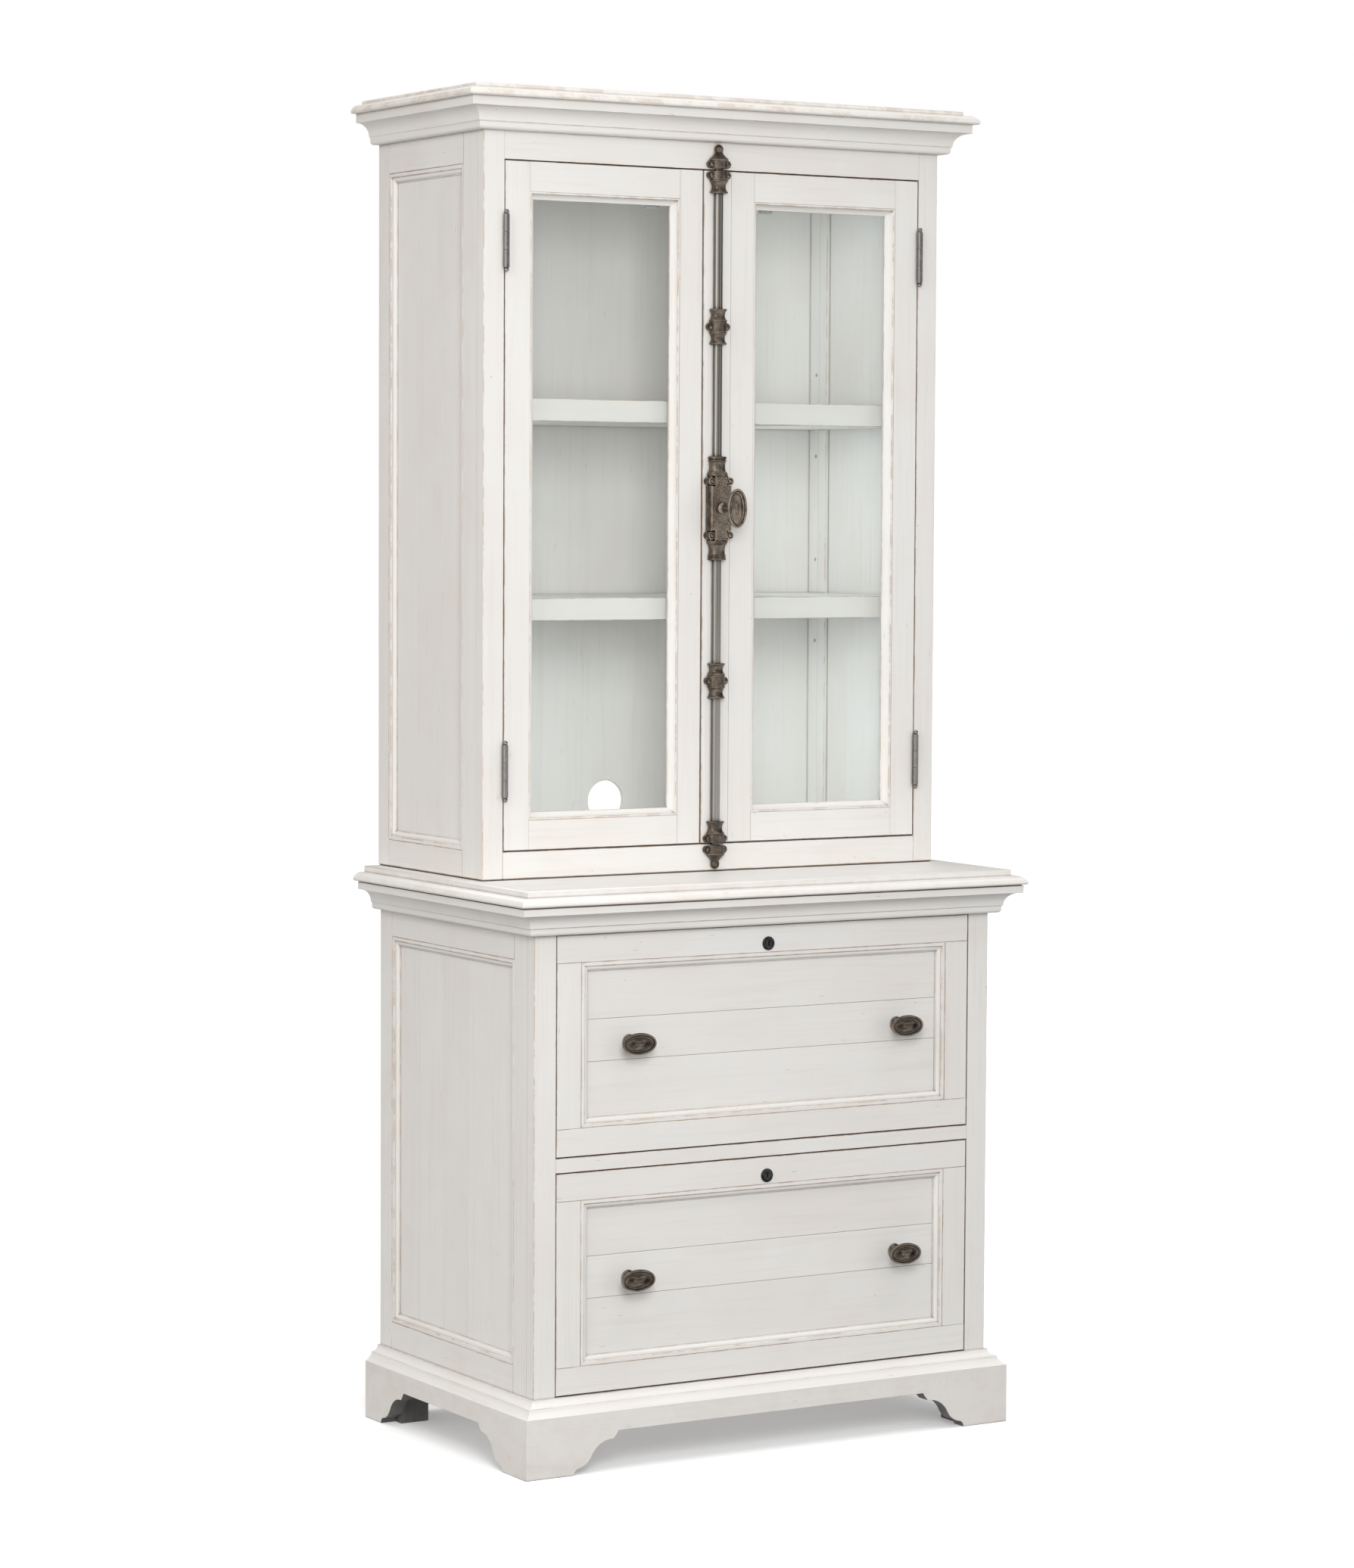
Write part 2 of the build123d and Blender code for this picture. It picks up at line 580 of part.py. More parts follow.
def hinge_leaf(side, z, knuckles):
    """One leaf of a right-hand hinge. `side` is 1 for the cabinet leaf and -1 for the door leaf."""
    near = HINGE_X + side * LEAF_GAP
    x = sorted((near, near + side * LEAF_THICK))
    half = HINGE_HEIGHT / 2
    leaf = board(x, (HUTCH_FRONT - 1.6, HUTCH_FRONT + 18.0), (z - half, z + half))
    for offset, height in knuckles:
        low = z + offset - height / 2
        neck = board(x, (HUTCH_FRONT - 3.2, HUTCH_FRONT - 1.6), (low, low + height))
        leaf = leaf + knuckle(z + offset, height) + neck
    return leaf


def make_hinges():
    height = HINGE_HEIGHT / 3 - 0.4
    step = HINGE_HEIGHT / 3
    cabinet_parts = []
    door_parts = []
    for z in HINGE_Z:
        cabinet_parts.append(hinge_leaf(1, z, ((-step, height), (step, height))))
        door_parts.append(hinge_leaf(-1, z, ((0.0, height),)))
        reach = HINGE_HEIGHT / 2 + 0.4
        pin = Cylinder(HINGE_PIN_R, 2 * reach)
        pin += Pos(0, 0, reach + 2.4) * Sphere(3.4) + Pos(0, 0, -reach - 2.4) * Sphere(3.4)
        cabinet_parts.append(Pos(HINGE_X, HINGE_Y, z) * pin)
    save("hinge_cabinet_leaves", *solids_of(*with_mirror(cabinet_parts)))
    save("right_hinge_leaves", *solids_of(*door_parts))
    save("left_hinge_leaves", *solids_of(*[mirror(part, about=Plane.YZ) for part in door_parts]))


def make_catches():
    x = (86.0, 110.0)
    door_back = HUTCH_FRONT + DOOR_THICK
    plate = board(x, (door_back, door_back + 1.4), (1817.0, 1862.0))
    catch = board((x[0] - 8, x[1] + 8), (door_back + 2.2, door_back + 24.0), (1846.0, DOORWAY[1]))
    catch -= board((x[0] - 5, x[1] + 5), (door_back + 2, door_back + 4.5), (1849.0, 1860.0))
    save("right_catch_plate", plate)
    save("left_catch_plate", mirror(plate, about=Plane.YZ))
    save("door_catches", *solids_of(*with_mirror([catch])))


# ---------------------------------------------------------------- doors
def make_door(name, meeting):
    """Door frame, glazing and hinge recesses, modelled as a right-hand door and mirrored for the left."""
    front, behind = HUTCH_FRONT, HUTCH_FRONT + DOOR_THICK
    z0, z1 = DOOR_RAILS
    hinge_stile = board((DOOR_STILE_OUTER, DOOR_OUTER), (front, behind), (DOOR_BOTTOM, DOOR_TOP))
    for z in HINGE_Z:
        half = HINGE_HEIGHT / 2 + 0.3
        hinge_stile -= board((HINGE_X - LEAF_GAP - LEAF_THICK - 0.1, DOOR_OUTER + 1),
                             (front - 1, front + 18.3), (z - half, z + half))
    meeting_stile = board((meeting, DOOR_STILE_INNER), (front, behind), (DOOR_BOTTOM, DOOR_TOP))
    rail_x = (DOOR_STILE_INNER, DOOR_STILE_OUTER)
    rails = [board(rail_x, (front, behind), (DOOR_BOTTOM, z0)),
             board(rail_x, (front, behind), (z1, DOOR_TOP))]

    centre_x = (rail_x[0] + rail_x[1]) / 2
    centre_z = (z0 + z1) / 2
    half_x = (rail_x[1] - rail_x[0]) / 2
    half_z = (z1 - z0) / 2
    glass_y = front + BEAD_DEPTH
    stop_y = glass_y + GLASS_THICK
    beads = moulding_inside(bead_profile(), (centre_x, glass_y, centre_z), (1, 0, 0), (0, 0, 1),
                            (0, -1, 0), half_x, half_z)
    stop_depth = behind - stop_y
    stop_face = outline((0, 0), (8.0, 0), (8.0, stop_depth - 1.5), (6.5, stop_depth), (0, stop_depth))
    stops = moulding_inside(stop_face, (centre_x, stop_y, centre_z), (1, 0, 0), (0, 0, 1),
                            (0, 1, 0), half_x, half_z)
    glass = board((rail_x[0] + 1, rail_x[1] - 1), (glass_y, stop_y), (z0 + 1, z1 - 1))

    nodes = {"door_frame": [hinge_stile, meeting_stile, *rails], "glazing_beads": beads + stops,
             "glass": [glass]}
    for node, shapes in nodes.items():
        if name == "left":
            shapes = [mirror(shape, about=Plane.YZ) for shape in shapes]
        save(f"{name}_{node}", *solids_of(*shapes))


# ---------------------------------------------------------------- cremone bolt
def turned(*stops):
    """Solid turned about the rod's axis, cut off at the door's face. Stops are (radius, z)."""
    spun = revolve(Plane.XZ * outline(*stops), Axis.Z, 360)
    low = spun.bounding_box().min.Z
    high = spun.bounding_box().max.Z
    keep = board((-30, 30), (HUTCH_FRONT - 30, HUTCH_FRONT), (low - 1, high + 1))
    return (Pos(0, ROD_Y, 0) * spun) & keep


def ears(z):
    """Two round screw lugs beside the rod."""
    front = HUTCH_FRONT - EAR_THICK
    plate = board((-EAR_X, EAR_X), (front, HUTCH_FRONT), (z - EAR_R * 0.8, z + EAR_R * 0.8))
    for x in (-EAR_X, EAR_X):
        plate += rod_along_y(EAR_R, x, z, front, HUTCH_FRONT)
        plate += rod_along_y(EAR_R * 0.7, x, z, front - 1.0, front)
    return plate


def bore(z0, z1):
    return Pos(0, ROD_Y, (z0 + z1) / 2) * Cylinder(ROD_BORE_R, z1 - z0)


def middle_guide(z0, z1):
    """Guide with flared ends, two waists and a screwed band between two rings."""
    body = turned((0, z0), (13.3, z0), (13.3, z0 + 1.8), (12.6, z0 + 2.4),
                  ((10.2, z0 + 8.8), (12.6, z0 + 15.4)), (13.6, z0 + 16.0), (13.6, z0 + 17.2),
                  (12.9, z0 + 17.8), (13.4, z0 + 18.6), (13.4, z1 - 18.6), (12.9, z1 - 17.8),
                  (13.6, z1 - 17.2), (13.6, z1 - 16.0), (12.6, z1 - 15.4),
                  ((10.2, z1 - 8.8), (12.6, z1 - 2.4)), (13.3, z1 - 1.8), (13.3, z1), (0, z1))
    return body + ears((z0 + z1) / 2) - bore(z0 - 1, z1 + 1)


def end_guide(flare, end):
    """Guide at the end of a door. `flare` is its flared end and `end` its screwed end beside a keeper."""
    away = 1 if end > flare else -1

    def at(height):
        return flare + away * height

    body = turned((0, at(0)), (13.8, at(0)), (13.8, at(1.8)), (12.8, at(2.6)),
                  ((10.5, at(9.8)), (13.0, at(16.6))), (14.1, at(17.4)), (14.1, at(18.8)),
                  (13.1, at(19.4)), (13.6, at(20.2)), (13.6, end), (0, end))
    lugs = ears(end - away * (EAR_R + 0.2))
    depth = sorted((at(-1), end + away))
    return body + lugs - bore(*depth)


def keeper(mouth, away):
    """Finial keeper on the cabinet rail. `mouth` is its open end and `away` the direction of its tip."""
    def at(height):
        return mouth + away * height

    body = turned((0, at(0)), (13.6, at(0)), (13.6, at(10.8)), (14.6, at(11.6)), (14.6, at(13.0)),
                  (13.6, at(13.8)), (13.2, at(14.6)), ((8.6, at(18.8)), (5.6, at(23.6))),
                  ((6.6, at(28.8)), (0, at(35.0))))
    depth = sorted((at(-1), at(14.0)))
    return body + ears(at(EAR_R + 0.3)) - bore(*depth)


def bolt_case():
    """Hollow lock case, open at the back, with a stud in each corner and a ringed collar at each end."""
    front = HUTCH_FRONT - CASE_DEPTH
    whole = (BOLT_Z - CASE_HALF, BOLT_Z + CASE_HALF)
    case = board((-CASE_WIDE, CASE_WIDE), (front, HUTCH_FRONT), (BOLT_Z - CASE_STEP, BOLT_Z + CASE_STEP))
    case += board((-CASE_NECK, CASE_NECK), (front, HUTCH_FRONT), whole)
    case = chamfer(case.faces().sort_by(Axis.Y)[0].edges(), 1.5)
    base_half, base_depth = CASE_BASE
    case += board((-base_half, base_half), (HUTCH_FRONT - base_depth, HUTCH_FRONT), whole)
    for side in (1, -1):
        def at(height):
            return BOLT_Z + side * (CASE_HALF + height)
        case += turned((0, at(-1)), (15.0, at(-1)), (16.2, at(0.4)), (16.2, at(2.8)), (14.8, at(4.0)),
                       (14.8, at(5.2)), (13.2, at(6.4)), ((12.1, at(13.0)), (12.6, at(20.4))), (13.8, at(21.4)),
                       (13.8, at(23.0)), (12.9, at(23.8)), (12.9, at(24.6)), (14.0, at(25.4)), (14.0, at(28.0)),
                       (13.4, at(28.5)), (0, at(28.5)))
        for x in (-STUD_SPOT[0], STUD_SPOT[0]):
            case += rod_along_y(STUD_R, x, BOLT_Z + side * STUD_SPOT[1], HUTCH_FRONT - STUD_DEPTH, HUTCH_FRONT)
    case -= bore(BOLT_Z - CASE_HALF - 29, BOLT_Z + CASE_HALF + 29)
    cavity_half, cavity_depth = CASE_CAVITY
    case -= board((-cavity_half, cavity_half), (HUTCH_FRONT - cavity_depth, HUTCH_FRONT + 1),
                  (whole[0] + 2, whole[1] - 2))
    case -= rod_along_y(5.3, 0, BOLT_Z, front - 2, HUTCH_FRONT - cavity_depth + 1)
    return case


def pinion_face():
    """Pinion outline with involute flanks, its first tooth gap towards +x."""
    base = PINION_R * math.cos(PRESSURE)
    tip = PINION_R + ADDENDUM
    root = PINION_R - DEDENDUM

    def involute(radius):
        spread = math.acos(min(1.0, base / radius))
        return math.tan(spread) - spread

    half_tooth = (RACK_PITCH / 2 - BACKLASH) / (2 * PINION_R)
    points = []
    for tooth in range(TEETH):
        centre = 2 * math.pi * (tooth + 0.5) / TEETH
        flank = [(root, half_tooth + involute(PINION_R))]
        for radius in (base, PINION_R, tip):
            flank.append((radius, half_tooth + involute(PINION_R) - involute(radius)))
        for radius, angle in flank:
            points.append((radius * math.cos(centre - angle), radius * math.sin(centre - angle)))
        for radius, angle in reversed(flank):
            points.append((radius * math.cos(centre + angle), radius * math.sin(centre + angle)))
    return outline(*points)


def rod_with_rack(tip):
    """Half-round rod that ends in a toothed rack beside the pinion. The rack is left of the knob's axis."""
    foot = BOLT_Z + 22.0
    rod = Pos(0, ROD_Y, (foot + tip) / 2) * Cylinder(ROD_R, tip - foot)
    rod &= board((-10, 10), (HUTCH_FRONT - 20, ROD_BACK), (foot, tip))
    y = (HUTCH_FRONT - 8.0, HUTCH_FRONT - 2.0)
    rack_side = -12.6
    bridge = board((rack_side, 0), y, (foot, foot + 7.0))
    root = -PINION_R - DEDENDUM
    tip_x = -PINION_R + ADDENDUM
    bar = board((rack_side, root), y, (BOLT_Z - 21.0, foot))
    teeth = []
    pitch_half = (RACK_PITCH / 2 - BACKLASH) / 2
    tip_half = pitch_half - ADDENDUM * math.tan(PRESSURE)
    root_half = pitch_half + DEDENDUM * math.tan(PRESSURE)
    plane = Plane((0, y[1], BOLT_Z), x_dir=(1, 0, 0), z_dir=(0, -1, 0))
    for index in range(-5, 4):
        z = index * RACK_PITCH
        tooth = outline((root - 0.5, z - root_half), (root, z - root_half), (tip_x, z - tip_half),
                        (tip_x, z + tip_half), (root, z + root_half), (root - 0.5, z + root_half))
        teeth.append(extrude(plane * tooth, amount=y[1] - y[0]))
    return rod.fuse(bridge, bar, *teeth)


def make_bolt():
    save("astragal", board(ASTRAGAL, (HUTCH_FRONT, HUTCH_FRONT + DOOR_THICK), (DOOR_BOTTOM, DOOR_TOP)))
    guides = [end_guide(914.0, 882.5), middle_guide(1097.0, 1149.0), middle_guide(1620.0, 1672.0),
              end_guide(1842.0, 1874.0)]
    save("bolt_guides", *solids_of(*guides))
    save("bolt_keepers", *solids_of(keeper(1878.5, 1), keeper(877.7, -1)))
    save("bolt_case", bolt_case())

    save("upper_rod", rod_with_rack(ROD_TIPS[1]))
    turned_over = Pos(0, 0, BOLT_Z) * Rot(0, 180, 0) * Pos(0, 0, -BOLT_Z)
    save("lower_rod", turned_over * rod_with_rack(2 * BOLT_Z - ROD_TIPS[0]))

    pinion_plane = Plane((0, HUTCH_FRONT - 2.2, BOLT_Z), x_dir=(1, 0, 0), z_dir=(0, -1, 0))
    save("bolt_pinion", extrude(pinion_plane * pinion_face(), amount=5.6))

    stem = rod_along_y(5.0, 0, BOLT_Z, HUTCH_FRONT - 50.0, HUTCH_FRONT - 7.8)
    collar = rod_along_y(8.0, 0, BOLT_Z, HUTCH_FRONT - 22.0, HUTCH_FRONT - 18.0)

    def oval(ahead, wide, high):
        plane = Plane((0, HUTCH_FRONT - ahead, BOLT_Z), x_dir=(1, 0, 0), z_dir=(0, -1, 0))
        return plane * Ellipse(wide, high)

    back = loft([oval(45.0, 8.0, 12.0), oval(55.0, *BOLT_KNOB_HALF)])
    rim = extrude(oval(55.0, *BOLT_KNOB_HALF), amount=5.0)
    face = loft([oval(60.0, 15.0, 27.4), oval(63.5, 9.0, 18.0)])
    save("bolt_knob", stem + collar + back + rim + face)


make_plinth()
make_sides()
make_base()
make_slides()
for drawer_name, (drawer_low, drawer_high) in DRAWERS.items():
    make_drawer(drawer_name, drawer_low, drawer_high)
make_hutch()
make_shelves()
make_hinges()
make_catches()
make_door("left", LEFT_MEETING)
make_door("right", ASTRAGAL[1])
make_bolt()
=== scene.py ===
import json
import math
import random

import bmesh
import bpy
from mathutils import Matrix, Vector
from mathutils.bvhtree import BVHTree

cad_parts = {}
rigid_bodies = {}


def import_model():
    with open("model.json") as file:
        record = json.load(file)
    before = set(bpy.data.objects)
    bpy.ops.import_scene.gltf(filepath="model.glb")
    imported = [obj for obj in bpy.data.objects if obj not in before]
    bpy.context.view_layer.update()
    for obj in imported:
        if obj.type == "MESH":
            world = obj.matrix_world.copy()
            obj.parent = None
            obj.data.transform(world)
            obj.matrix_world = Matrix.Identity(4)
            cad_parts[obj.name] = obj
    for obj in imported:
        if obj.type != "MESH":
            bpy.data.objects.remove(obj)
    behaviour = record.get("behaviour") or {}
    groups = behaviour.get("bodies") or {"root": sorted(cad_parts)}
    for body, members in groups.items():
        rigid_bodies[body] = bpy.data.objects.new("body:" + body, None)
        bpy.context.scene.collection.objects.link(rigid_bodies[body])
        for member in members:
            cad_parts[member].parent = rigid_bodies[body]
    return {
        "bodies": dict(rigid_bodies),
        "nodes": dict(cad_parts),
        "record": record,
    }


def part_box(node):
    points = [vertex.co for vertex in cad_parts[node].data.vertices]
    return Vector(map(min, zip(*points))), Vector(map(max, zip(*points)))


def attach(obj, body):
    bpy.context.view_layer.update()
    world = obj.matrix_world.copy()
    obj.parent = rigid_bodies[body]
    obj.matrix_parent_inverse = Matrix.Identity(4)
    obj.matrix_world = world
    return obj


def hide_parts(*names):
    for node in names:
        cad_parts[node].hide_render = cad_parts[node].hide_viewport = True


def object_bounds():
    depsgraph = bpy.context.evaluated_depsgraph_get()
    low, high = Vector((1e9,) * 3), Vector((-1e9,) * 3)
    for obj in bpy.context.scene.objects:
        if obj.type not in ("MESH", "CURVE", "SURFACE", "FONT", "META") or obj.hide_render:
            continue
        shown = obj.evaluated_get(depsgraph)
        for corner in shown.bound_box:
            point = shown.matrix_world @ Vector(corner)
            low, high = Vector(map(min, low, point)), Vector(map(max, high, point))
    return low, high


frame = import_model()
cad_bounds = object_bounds()
record = frame["record"]
BODY_OF = {node: body for body, nodes in record["behaviour"]["bodies"].items() for node in nodes}
SLOT_OF = {part["node"]: part["material_slot"] for part in record["subparts"]}
MM = 0.001
CHANCE = random.Random(11)
WOOD_SLOTS = ("painted_wood", "bare_wood")

# Width in mm of the worn bevel on the free edges of each node; other nodes take BOARD_BEVEL.
BOARD_BEVEL = 1.0
BEVEL = {
    "plinth_boards": 1.2, "astragal": 1.2,
    "plinth_moulding": 0.5, "base_cove_moulding": 0.5, "cornice_moulding": 0.5, "side_mouldings": 0.5,
    "upper_drawer_moulding": 0.5, "lower_drawer_moulding": 0.5,
    "upper_drawer_panel": 0.0, "lower_drawer_panel": 0.0, "side_panels": 0.0,
    "left_glazing_beads": 0.6, "right_glazing_beads": 0.6, "left_glass": 0.2, "right_glass": 0.2,
    "bolt_guides": 0.4, "bolt_case": 0.7, "bolt_keepers": 0.4, "bolt_pinion": 0.0,
    "upper_rod": 0.3, "lower_rod": 0.3,
    "hinge_cabinet_leaves": 0.7, "left_hinge_leaves": 0.7, "right_hinge_leaves": 0.7,
    "upper_lock_case": 0.4, "lower_lock_case": 0.4, "upper_lock_plug": 0.2, "lower_lock_plug": 0.2,
    "slide_outers": 0.3, "upper_slide_middles": 0.3, "lower_slide_middles": 0.3,
    "upper_drawer_steel": 0.3, "lower_drawer_steel": 0.3, "shelf_pins": 0.25,
    "door_catches": 0.5, "left_catch_plate": 0.3, "right_catch_plate": 0.3,
}
SHARP = math.radians(28)        # free edges that bend more than this are bevelled
SQUARE = math.radians(60)       # joint edges that bend more than this are chamfered
SEAM_REACH = 0.4 * MM           # another board within this of an edge makes that edge a joint
SEAM_BEVEL = 0.5 * MM
SEAM_DARKNESS = 0.52
# Joints at the top and the underside of the base's top board get a wide chamfer at full seam darkness: a
# painted shadow in the gap where the hutch and the cove meet that board.
LEDGES = (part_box("base_top")[0].z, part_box("base_top")[1].z)
LEDGE_BEVEL = 2.1 * MM

# How much the paint is rubbed off the sides of some boards, and the metal of some pieces is darker, up to 1;
# on the plinth the rubbed tint is painted shade, on the cornice's top board part wear, part painted shade.
RUBBED_AND_SHADED_RIMS = {"cornice_top": 0.45, "base_top": 0.12, "plinth_boards": 0.10}
DARKER_METAL = {"bolt_guides": 0.35, "bolt_keepers": 0.35}
DARKER_KNOBS = 0.75
# Shelves whose paint is lightened and cooled: painted light, brighter than their lighting makes them.
BRIGHTENED_SHELVES = ("upper_shelf", "lower_shelf")
STIPPLED_AREA = 40.0 * MM * MM  # front faces of the bolt's case that are larger than this are stippled

# Sizes of the cast ornament, in mm.
WAVES = 36                      # turns of the rope around the face of a knob, and number of its rays
STUD_SPOT = (15.5, 40.0)        # how far the studs of the bolt's case stand from its centre
STUD_PROUD = 4.3                # from the foot of a stud to the front of the case
LUG_X = 14.0                    # how far the screws of guides and keepers stand from the rods' axis
LUG_REACH = 17.0                # points of a guide or keeper farther out than this belong to its lugs
TIP_DROP = 6.2                  # from the end of a keeper to the middle of its ball tip


# ---------------------------------------------------------------- materials
class Shader:
    """A node tree whose nodes are added one call at a time."""

    def __init__(self, owner):
        self.owner = owner
        owner.use_nodes = True
        self.tree = owner.node_tree
        self.tree.nodes.clear()

    def add(self, kind, values=(), **settings):
        node = self.tree.nodes.new("ShaderNode" + kind)
        for key, value in settings.items():
            setattr(node, key, value)
        for key, value in dict(values).items():
            self.feed(node.inputs[key], value)
        return node

    def feed(self, socket, value):
        if isinstance(value, bpy.types.NodeSocket):
            self.tree.links.new(value, socket)
        elif hasattr(value, "__len__") and len(value) == 3 and socket.type == "RGBA":
            socket.default_value = (*value, 1.0)
        else:
            socket.default_value = value

    def attribute(self, name, output="Fac"):
        return self.add("Attribute", attribute_name=name).outputs[output]

    def stretched(self, vector, along, across):
        scale = (along, across, across)
        return self.add("VectorMath", {0: vector, 1: scale}, operation="MULTIPLY").outputs[0]

    def noise(self, vector, scale=1.0, detail=2.0, roughness=0.5, distortion=0.0):
        values = {"Vector": vector, "Scale": scale, "Detail": detail, "Roughness": roughness,
                  "Distortion": distortion}
        return self.add("TexNoise", values).outputs["Fac"]

    def cells(self, vector, scale, randomness=1.0, feature="F1"):
        values = {"Vector": vector, "Scale": scale, "Randomness": randomness}
        return self.add("TexVoronoi", values, feature=feature).outputs["Distance"]

    def ramp(self, value, low, high, start=0.0, end=1.0):
        values = {"Value": value, "From Min": low, "From Max": high, "To Min": start, "To Max": end}
        return self.add("MapRange", values, interpolation_type="SMOOTHSTEP").outputs["Result"]

    def math(self, operation, first, second=0.0):
        return self.add("Math", {0: first, 1: second}, operation=operation).outputs[0]

    def mix(self, share, first, second):
        node = self.add("Mix", data_type="RGBA")
        self.feed(node.inputs[0], share)
        self.feed(node.inputs[6], first)
        self.feed(node.inputs[7], second)
        return node.outputs[2]

    def bump(self, height, distance, strength):
        values = {"Height": height, "Distance": distance, "Strength": strength}
        return self.add("Bump", values).outputs["Normal"]

    def hollows(self, reach, full, none):
        """1 in grooves and inner corners within `reach`, 0 on open faces."""
        node = self.add("AmbientOcclusion", {"Distance": reach}, samples=6)
        return self.ramp(node.outputs["AO"], full, none, 1.0, 0.0)

    def finish(self, kind, values):
        """End a material with one surface shader."""
        self.add("OutputMaterial", {"Surface": self.add(kind, values).outputs[0]})
        return self.owner


def material(name):
    """The node tree of a new material, still empty."""
    return Shader(bpy.data.materials.new(name))


def painted_wood():
    """Brushed cream paint, rubbed through at worn edges and glazed dark in seams and hollows; in gaps and
    inner corners this dark is also painted shade.

    Where the attribute "stain" is 1 it is the dark finish under the base instead."""
    s = material("painted_wood")
    place = s.attribute("grain_pos", "Vector")
    tone = s.attribute("tone")
    wear = s.attribute("wear")
    seam = s.attribute("seam")
    stain = s.attribute("stain")
    grain = s.noise(s.stretched(place, 2.2, 60.0), 1.0, 4.0, 0.6, 0.5)
    brush = s.noise(s.stretched(place, 6.0, 190.0), 1.0, 3.0, 0.55, 0.3)
    lines = s.noise(s.stretched(place, 9.0, 420.0), 1.0, 2.0, 0.5)
    mottle = s.noise(place, 5.5, 3.0, 0.55, 0.4)
    cloud = s.noise(place, 26.0, 3.0, 0.6)
    patch = s.noise(place, 34.0, 4.0, 0.65)
    # the paint, its brush strokes and its uneven tone
    light, warm, shade = (0.735, 0.723, 0.700), (0.712, 0.676, 0.640), (0.620, 0.585, 0.540)
    paint = s.mix(s.ramp(mottle, 0.40, 0.72, 0.0, 0.75), light, warm)
    paint = s.mix(s.ramp(grain, 0.50, 0.78, 0.0, 0.34), paint, shade)
    paint = s.mix(s.ramp(brush, 0.52, 0.78, 0.0, 0.26), paint, (0.61, 0.56, 0.51))
    paint = s.mix(s.ramp(cloud, 0.58, 0.82, 0.0, 0.12), paint, shade)
    paint = s.mix(s.ramp(tone, 0.0, 1.0, 0.0, 0.14), paint, shade)
    paint = s.mix(s.ramp(lines, 0.60, 0.78, 0.0, 0.14), paint, (0.50, 0.46, 0.40))
    # painted light: the shelves' paint lightened and cooled
    paint = s.mix(s.math("MULTIPLY", s.attribute("painted_brightness"), 0.25), paint, (0.86, 0.865, 0.85))
    # worn edges, then dark glazing in seams with painted shadow in the gaps at the ledges, then glazing and
    # painted shade in hollows
    rub = s.math("MULTIPLY", s.ramp(patch, 0.44, 0.60), wear)
    thin = s.math("MULTIPLY", s.ramp(patch, 0.30, 0.55, 0.15, 0.45), wear)
    paint = s.mix(thin, paint, (0.62, 0.52, 0.43))
    paint = s.mix(s.math("MULTIPLY", rub, 0.60), paint, (0.43, 0.28, 0.17))
    # seams: dark joints, and at full strength on the ledges a painted shadow in the gap
    glaze_and_painted_gap_shadow = s.math("MULTIPLY", s.ramp(patch, 0.25, 0.65, 0.75, 1.0), seam)
    paint = s.mix(glaze_and_painted_gap_shadow, paint, (0.075, 0.058, 0.045))
    # grey-brown within 5 mm of other surfaces: glazing in grooves, and painted shade in gaps and inner
    # corners
    glaze_and_painted_shade = s.math("MULTIPLY", s.hollows(0.0050, 0.42, 0.82), s.ramp(patch, 0.25, 0.65, 0.60, 0.90))
    paint = s.mix(glaze_and_painted_shade, paint, (0.27, 0.235, 0.20))
    # specks and scratches
    speck = s.ramp(s.cells(place, 21.0), 0.014, 0.030, 1.0, 0.0)
    small = s.ramp(s.cells(place, 47.0), 0.016, 0.034, 0.7, 0.0)
    scratch = s.ramp(s.cells(s.stretched(place, 9.0, 62.0), 1.0), 0.030, 0.060, 0.55, 0.0)
    marks = s.math("MAXIMUM", s.math("MAXIMUM", speck, small), scratch)
    paint = s.mix(s.math("MULTIPLY", marks, 0.6), paint, (0.36, 0.29, 0.22))
    # the dark finish, and the relief of all this
    dark = s.mix(s.ramp(cloud, 0.3, 0.7), (0.075, 0.073, 0.075), (0.135, 0.128, 0.122))
    paint = s.mix(stain, paint, dark)
    roughness = s.ramp(cloud, 0.3, 0.7, 0.42, 0.56)
    height = s.math("ADD", s.math("MULTIPLY", grain, 0.4), s.math("MULTIPLY", lines, 0.25))
    height = s.math("ADD", height, s.math("MULTIPLY", brush, 0.25))
    height = s.math("ADD", height, s.math("MULTIPLY", marks, -0.9))
    height = s.math("ADD", height, s.math("MULTIPLY", rub, -0.5))
    normal = s.bump(height, 0.0006, 0.5)
    values = {"Base Color": paint, "Roughness": roughness, "Normal": normal}
    return s.finish("BsdfPrincipled", values)


def bare_wood():
    """Unpainted wood with growth bands and fine fibres. Where "stain" is 1 it is dark too."""
    s = material("bare_wood")
    place = s.attribute("grain_pos", "Vector")
    tone = s.attribute("tone")
    grain = s.noise(s.stretched(place, 1.8, 30.0), 1.0, 5.0, 0.6, 1.2)
    fibre = s.noise(s.stretched(place, 14.0, 600.0), 1.0, 2.0, 0.5)
    wood = s.mix(s.ramp(grain, 0.38, 0.68), (0.56, 0.40, 0.25), (0.38, 0.245, 0.14))
    wood = s.mix(s.ramp(fibre, 0.52, 0.75, 0.0, 0.35), wood, (0.24, 0.15, 0.085))
    wood = s.mix(s.ramp(tone, 0.0, 1.0, 0.0, 0.30), wood, (0.62, 0.48, 0.33))
    dark = s.mix(s.ramp(grain, 0.3, 0.7), (0.075, 0.073, 0.075), (0.135, 0.128, 0.122))
    wood = s.mix(s.attribute("stain"), wood, dark)
    roughness = s.ramp(grain, 0.3, 0.7, 0.55, 0.72)
    height = s.math("ADD", s.math("MULTIPLY", grain, 0.3), s.math("MULTIPLY", fibre, 0.5))
    normal = s.bump(height, 0.0004, 0.5)
    values = {"Base Color": wood, "Roughness": roughness, "Normal": normal}
    return s.finish("BsdfPrincipled", values)


